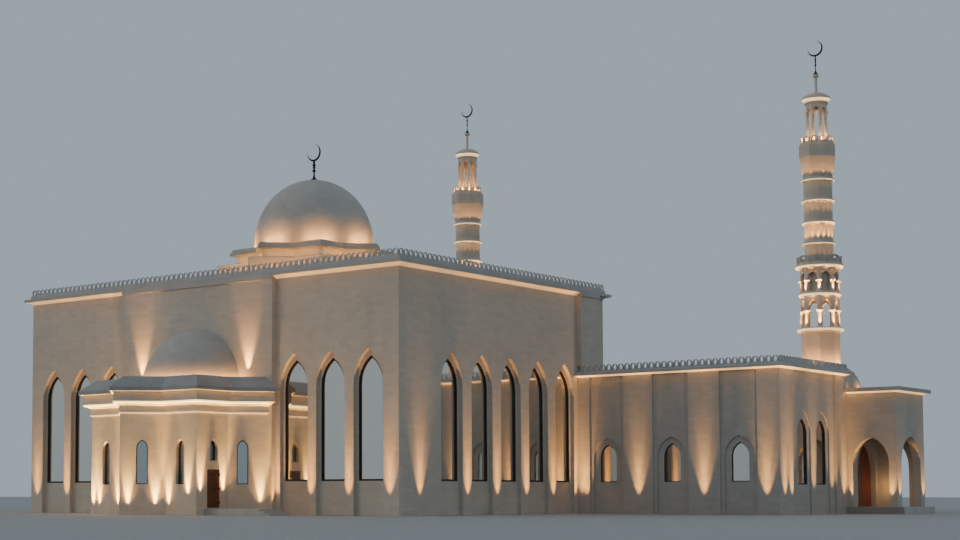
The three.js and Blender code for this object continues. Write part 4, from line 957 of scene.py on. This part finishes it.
def uplight(x, y, facing, off, low, power, cone, lean=0.06, colour=lampColour):
    addLamp("uplight", "SPOT", power, colour, *upAlongWall(x, y, facing, off, low, lean),
            spot_size=radians(cone), spot_blend=1.0, shadow_soft_size=0.02)


def glow(x, y, z, power, radius):
    addLamp("glow", "POINT", power, lampColour, (x, y, z), (0, 0, -1), shadow_soft_size=radius * realMetre)


def wash(x, y, facing, off, low, length, power, lean):
    # a long lamp lying along the foot of a wall
    addLamp("wash", "AREA", power, lampColour, *upAlongWall(x, y, facing, off, low, lean),
            shape="RECTANGLE", size=length * realMetre, size_y=0.1 * realMetre)


wallLamps = {
    "hallFront": [7.75, 10.7, 14.0, 17.45], "hallSide": [-10.57, -5.15, -1.6, 2.1, 5.6, 8.6],
    "wingFront": [18.95, 23.33, 28.55, 33.3], "wingEnd": [9.7, 10.8, 14.75, 17.85, 19.6],
    "beams": [{"cone": 33, "power": 1000}, {"cone": 17, "power": 1300}], "off": 0.47, "low": 0.06,
}
porchLamps = {
    "front": [34.7, 37.6], "side": [20.8, 25.3], "beam": {"cone": 38, "power": 420, "off": 0.32, "low": 0.55},
}
for sign in (1, -1):
    spots = alongFront(sign, wallLamps["hallFront"], -hallY) + alongSide(sign, hallX, wallLamps["hallSide"])
    spots += alongFront(sign, wallLamps["wingFront"], wingFrontY) + alongSide(sign, wingX, wallLamps["wingEnd"])
    for spot in spots:
        for beam in wallLamps["beams"]:
            uplight(*spot, wallLamps["off"], wallLamps["low"], **beam)
    for spot in alongFront(sign, porchLamps["front"], wingBackY) + alongSide(sign, porchX, porchLamps["side"]):
        uplight(*spot, **porchLamps["beam"])
    glow(sign * 35.6, 24.2, 2.0, 10, 0.3)

nicheLamps = {
    "front": [-4.96, -4.34, -2.42, 2.58, 4.41],
    "right": [(0.41, -19.94, 45), (1.72, -18.63, 45), (nicheHalf, -17.82, 90), (nicheHalf, -15.62, 90),
              (6.81, -13.6, 45)],
    "beam": {"off": 0.2, "cone": 26, "power": 3000, "lean": 0.04, "colour": (1.0, 0.57, 0.12)},
    "halo": {"off": 0.45, "cone": 62, "power": 150, "lean": 0.05}, "raised": {(4.41, 0): 0.65, (nicheHalf, 90): 0.9},
    "roof": {"x": 5.3, "y": -13.2, "off": 0.3, "low": 9.4, "cone": 40, "power": 1500},
    "domeFoot": {"radius": 5.0, "low": 9.45, "power": 9},
}
spots = alongFront(1, nicheLamps["front"], nicheFrontY) + nicheLamps["right"]
spots += [(-x, y, -facing) for x, y, facing in nicheLamps["right"]]
for x, y, facing in spots:
    low = 0.05 + nicheLamps["raised"].get((x, facing), 0)
    uplight(x, y, facing, low=low, **nicheLamps["beam"])
    uplight(x, y, facing, low=low, **nicheLamps["halo"])
r = nicheLamps["roof"]
for sign in (1, -1):
    uplight(sign * r["x"], r["y"], 0, r["off"], r["low"], r["power"], r["cone"])
r = nicheLamps["domeFoot"]
for a in np.radians(np.linspace(200, 340, 15)):
    glow(r["radius"] * np.cos(a), halfDomeY + r["radius"] * np.sin(a), r["low"], r["power"], 0.05)

drumLamps = {
    "lower": {"off": 0.7, "low": 16.8, "power": 30, "lean": 0.35},
    "upper": {"off": 0.45, "low": 19.3, "power": 4, "lean": 0.4},
}
for beam, offset in ((drumLamps["lower"], drum["reach"]), (drumLamps["upper"], 0.0)):
    corners = offsetPath(starPath(drum["halfSide"]), [offset], True)[:, 0]
    for a, b in zip(corners, np.roll(corners, -1, 0)):
        middle, along = (a + b) / 2, b - a
        facing = np.degrees(np.arctan2(along[1], along[0]))
        wash(*middle, facing, length=np.linalg.norm(along) * 0.9, **beam)
domeLamps = {"radius": 5.4, "height": 20.5, "spread": 7, "power": 34}       # in pairs round the dome's foot
r = domeLamps
for k in range(8):
    for turn in (-r["spread"], r["spread"]):
        a = radians(45 * k + turn)
        glow(r["radius"] * np.cos(a), r["radius"] * np.sin(a), r["height"], r["power"], 0.1)

towerLamps = [      # count, phase, radius of the wall, off, height, power, cone, lean
    (8, 0.5, 1.75, 0.24, 16.72, 520, 64, 0.05),
    (8, 0.5, 1.75, 0.12, 20.07, 300, 56, 0.05),
    (16, 0, 1.29, 0.3, 22.8, 14, 50, 0.1),
    (16, 0, 1.29, 0.17, 24.77, 110, 56, 0.0),
    (16, 0, 1.29, 0.3, 26.72, 60, 46, 0.0),
    (16, 0, 1.29, 0.3, 28.77, 12, 46, 0.0),
    (16, 0, 1.29, 0.35, 30.72, 20, 80, 0.0),
]
for sign in (1, -1):
    x, y = sign * minaretAt[0], minaretAt[1]
    for count, phase, radius, *beam in towerLamps:
        for k in range(count):
            a = 2 * pi * (k + phase) / count
            uplight(x + radius * np.cos(a), y + radius * np.sin(a), np.degrees(a) + 90, *beam)
    for side in octagonSides(x, y, 1.7, 0):
        wash(*side, 0.5, 12.6, 1.2, 55, 0.12)
    glow(x, y, 17.0, 20, 0.1)
    for corner in octagonCorners(x, y, 1.2, 0):
        glow(*corner, 34.15, 28, 0.04)
    for corner in octagonCorners(sign * galleryDomeAt[0], galleryDomeAt[1], 2.45, 0):
        glow(*corner, 9.35, 5, 0.1)
print("lamps placed")

# floor, sky and camera

floorReach = 400.0       # scene metres each way
mesh = bpy.data.meshes.new("floor")
mesh.from_pydata([(x, y, -0.002) for x, y in cornersAt(floorReach, floorReach, 0)], [], [(0, 1, 2, 3)])
floor = addObject("floor", mesh)
s = Shading("plain pale floor")
mesh.materials.append(s.finish(s.mixed(s.noise(s.place, 0.2), (0.34, 0.34, 0.34), (0.36, 0.36, 0.36)), 0.8))

daylight = {
    "sky": (0.357, 0.433, 0.493), "sunColour": (1.0, 0.875, 0.71), "sunPower": 0.62, "sunSpread": 40,
    "sunAim": (0.8, 0.55, -0.3),
}
world = bpy.data.worlds.new("plain sky")
world.use_nodes = True
background = world.node_tree.nodes["Background"].inputs
background["Color"].default_value = (*daylight["sky"], 1.0)
background["Strength"].default_value = 1.0
bpy.context.scene.world = world
addLamp("soft daylight", "SUN", daylight["sunPower"], daylight["sunColour"], (0, 0, 60), daylight["sunAim"],
        angle=radians(daylight["sunSpread"]))

cameraSettings = {       # place in scene metres
    "place": (42.3525, -49.4686, 0.6945), "tilt": 93.7247, "turn": 39.887, "lens": 63.0614,
    "shift": (0.1522, 0.12),
}
data = bpy.data.cameras.new("camera")
data.lens, data.sensor_width = cameraSettings["lens"], 36
data.shift_x, data.shift_y = cameraSettings["shift"]
data.clip_end = 2000
camera = addObject("camera", data)
camera.location = cameraSettings["place"]
camera.rotation_euler = (radians(cameraSettings["tilt"]), 0, radians(cameraSettings["turn"]))
bpy.context.scene.camera = camera
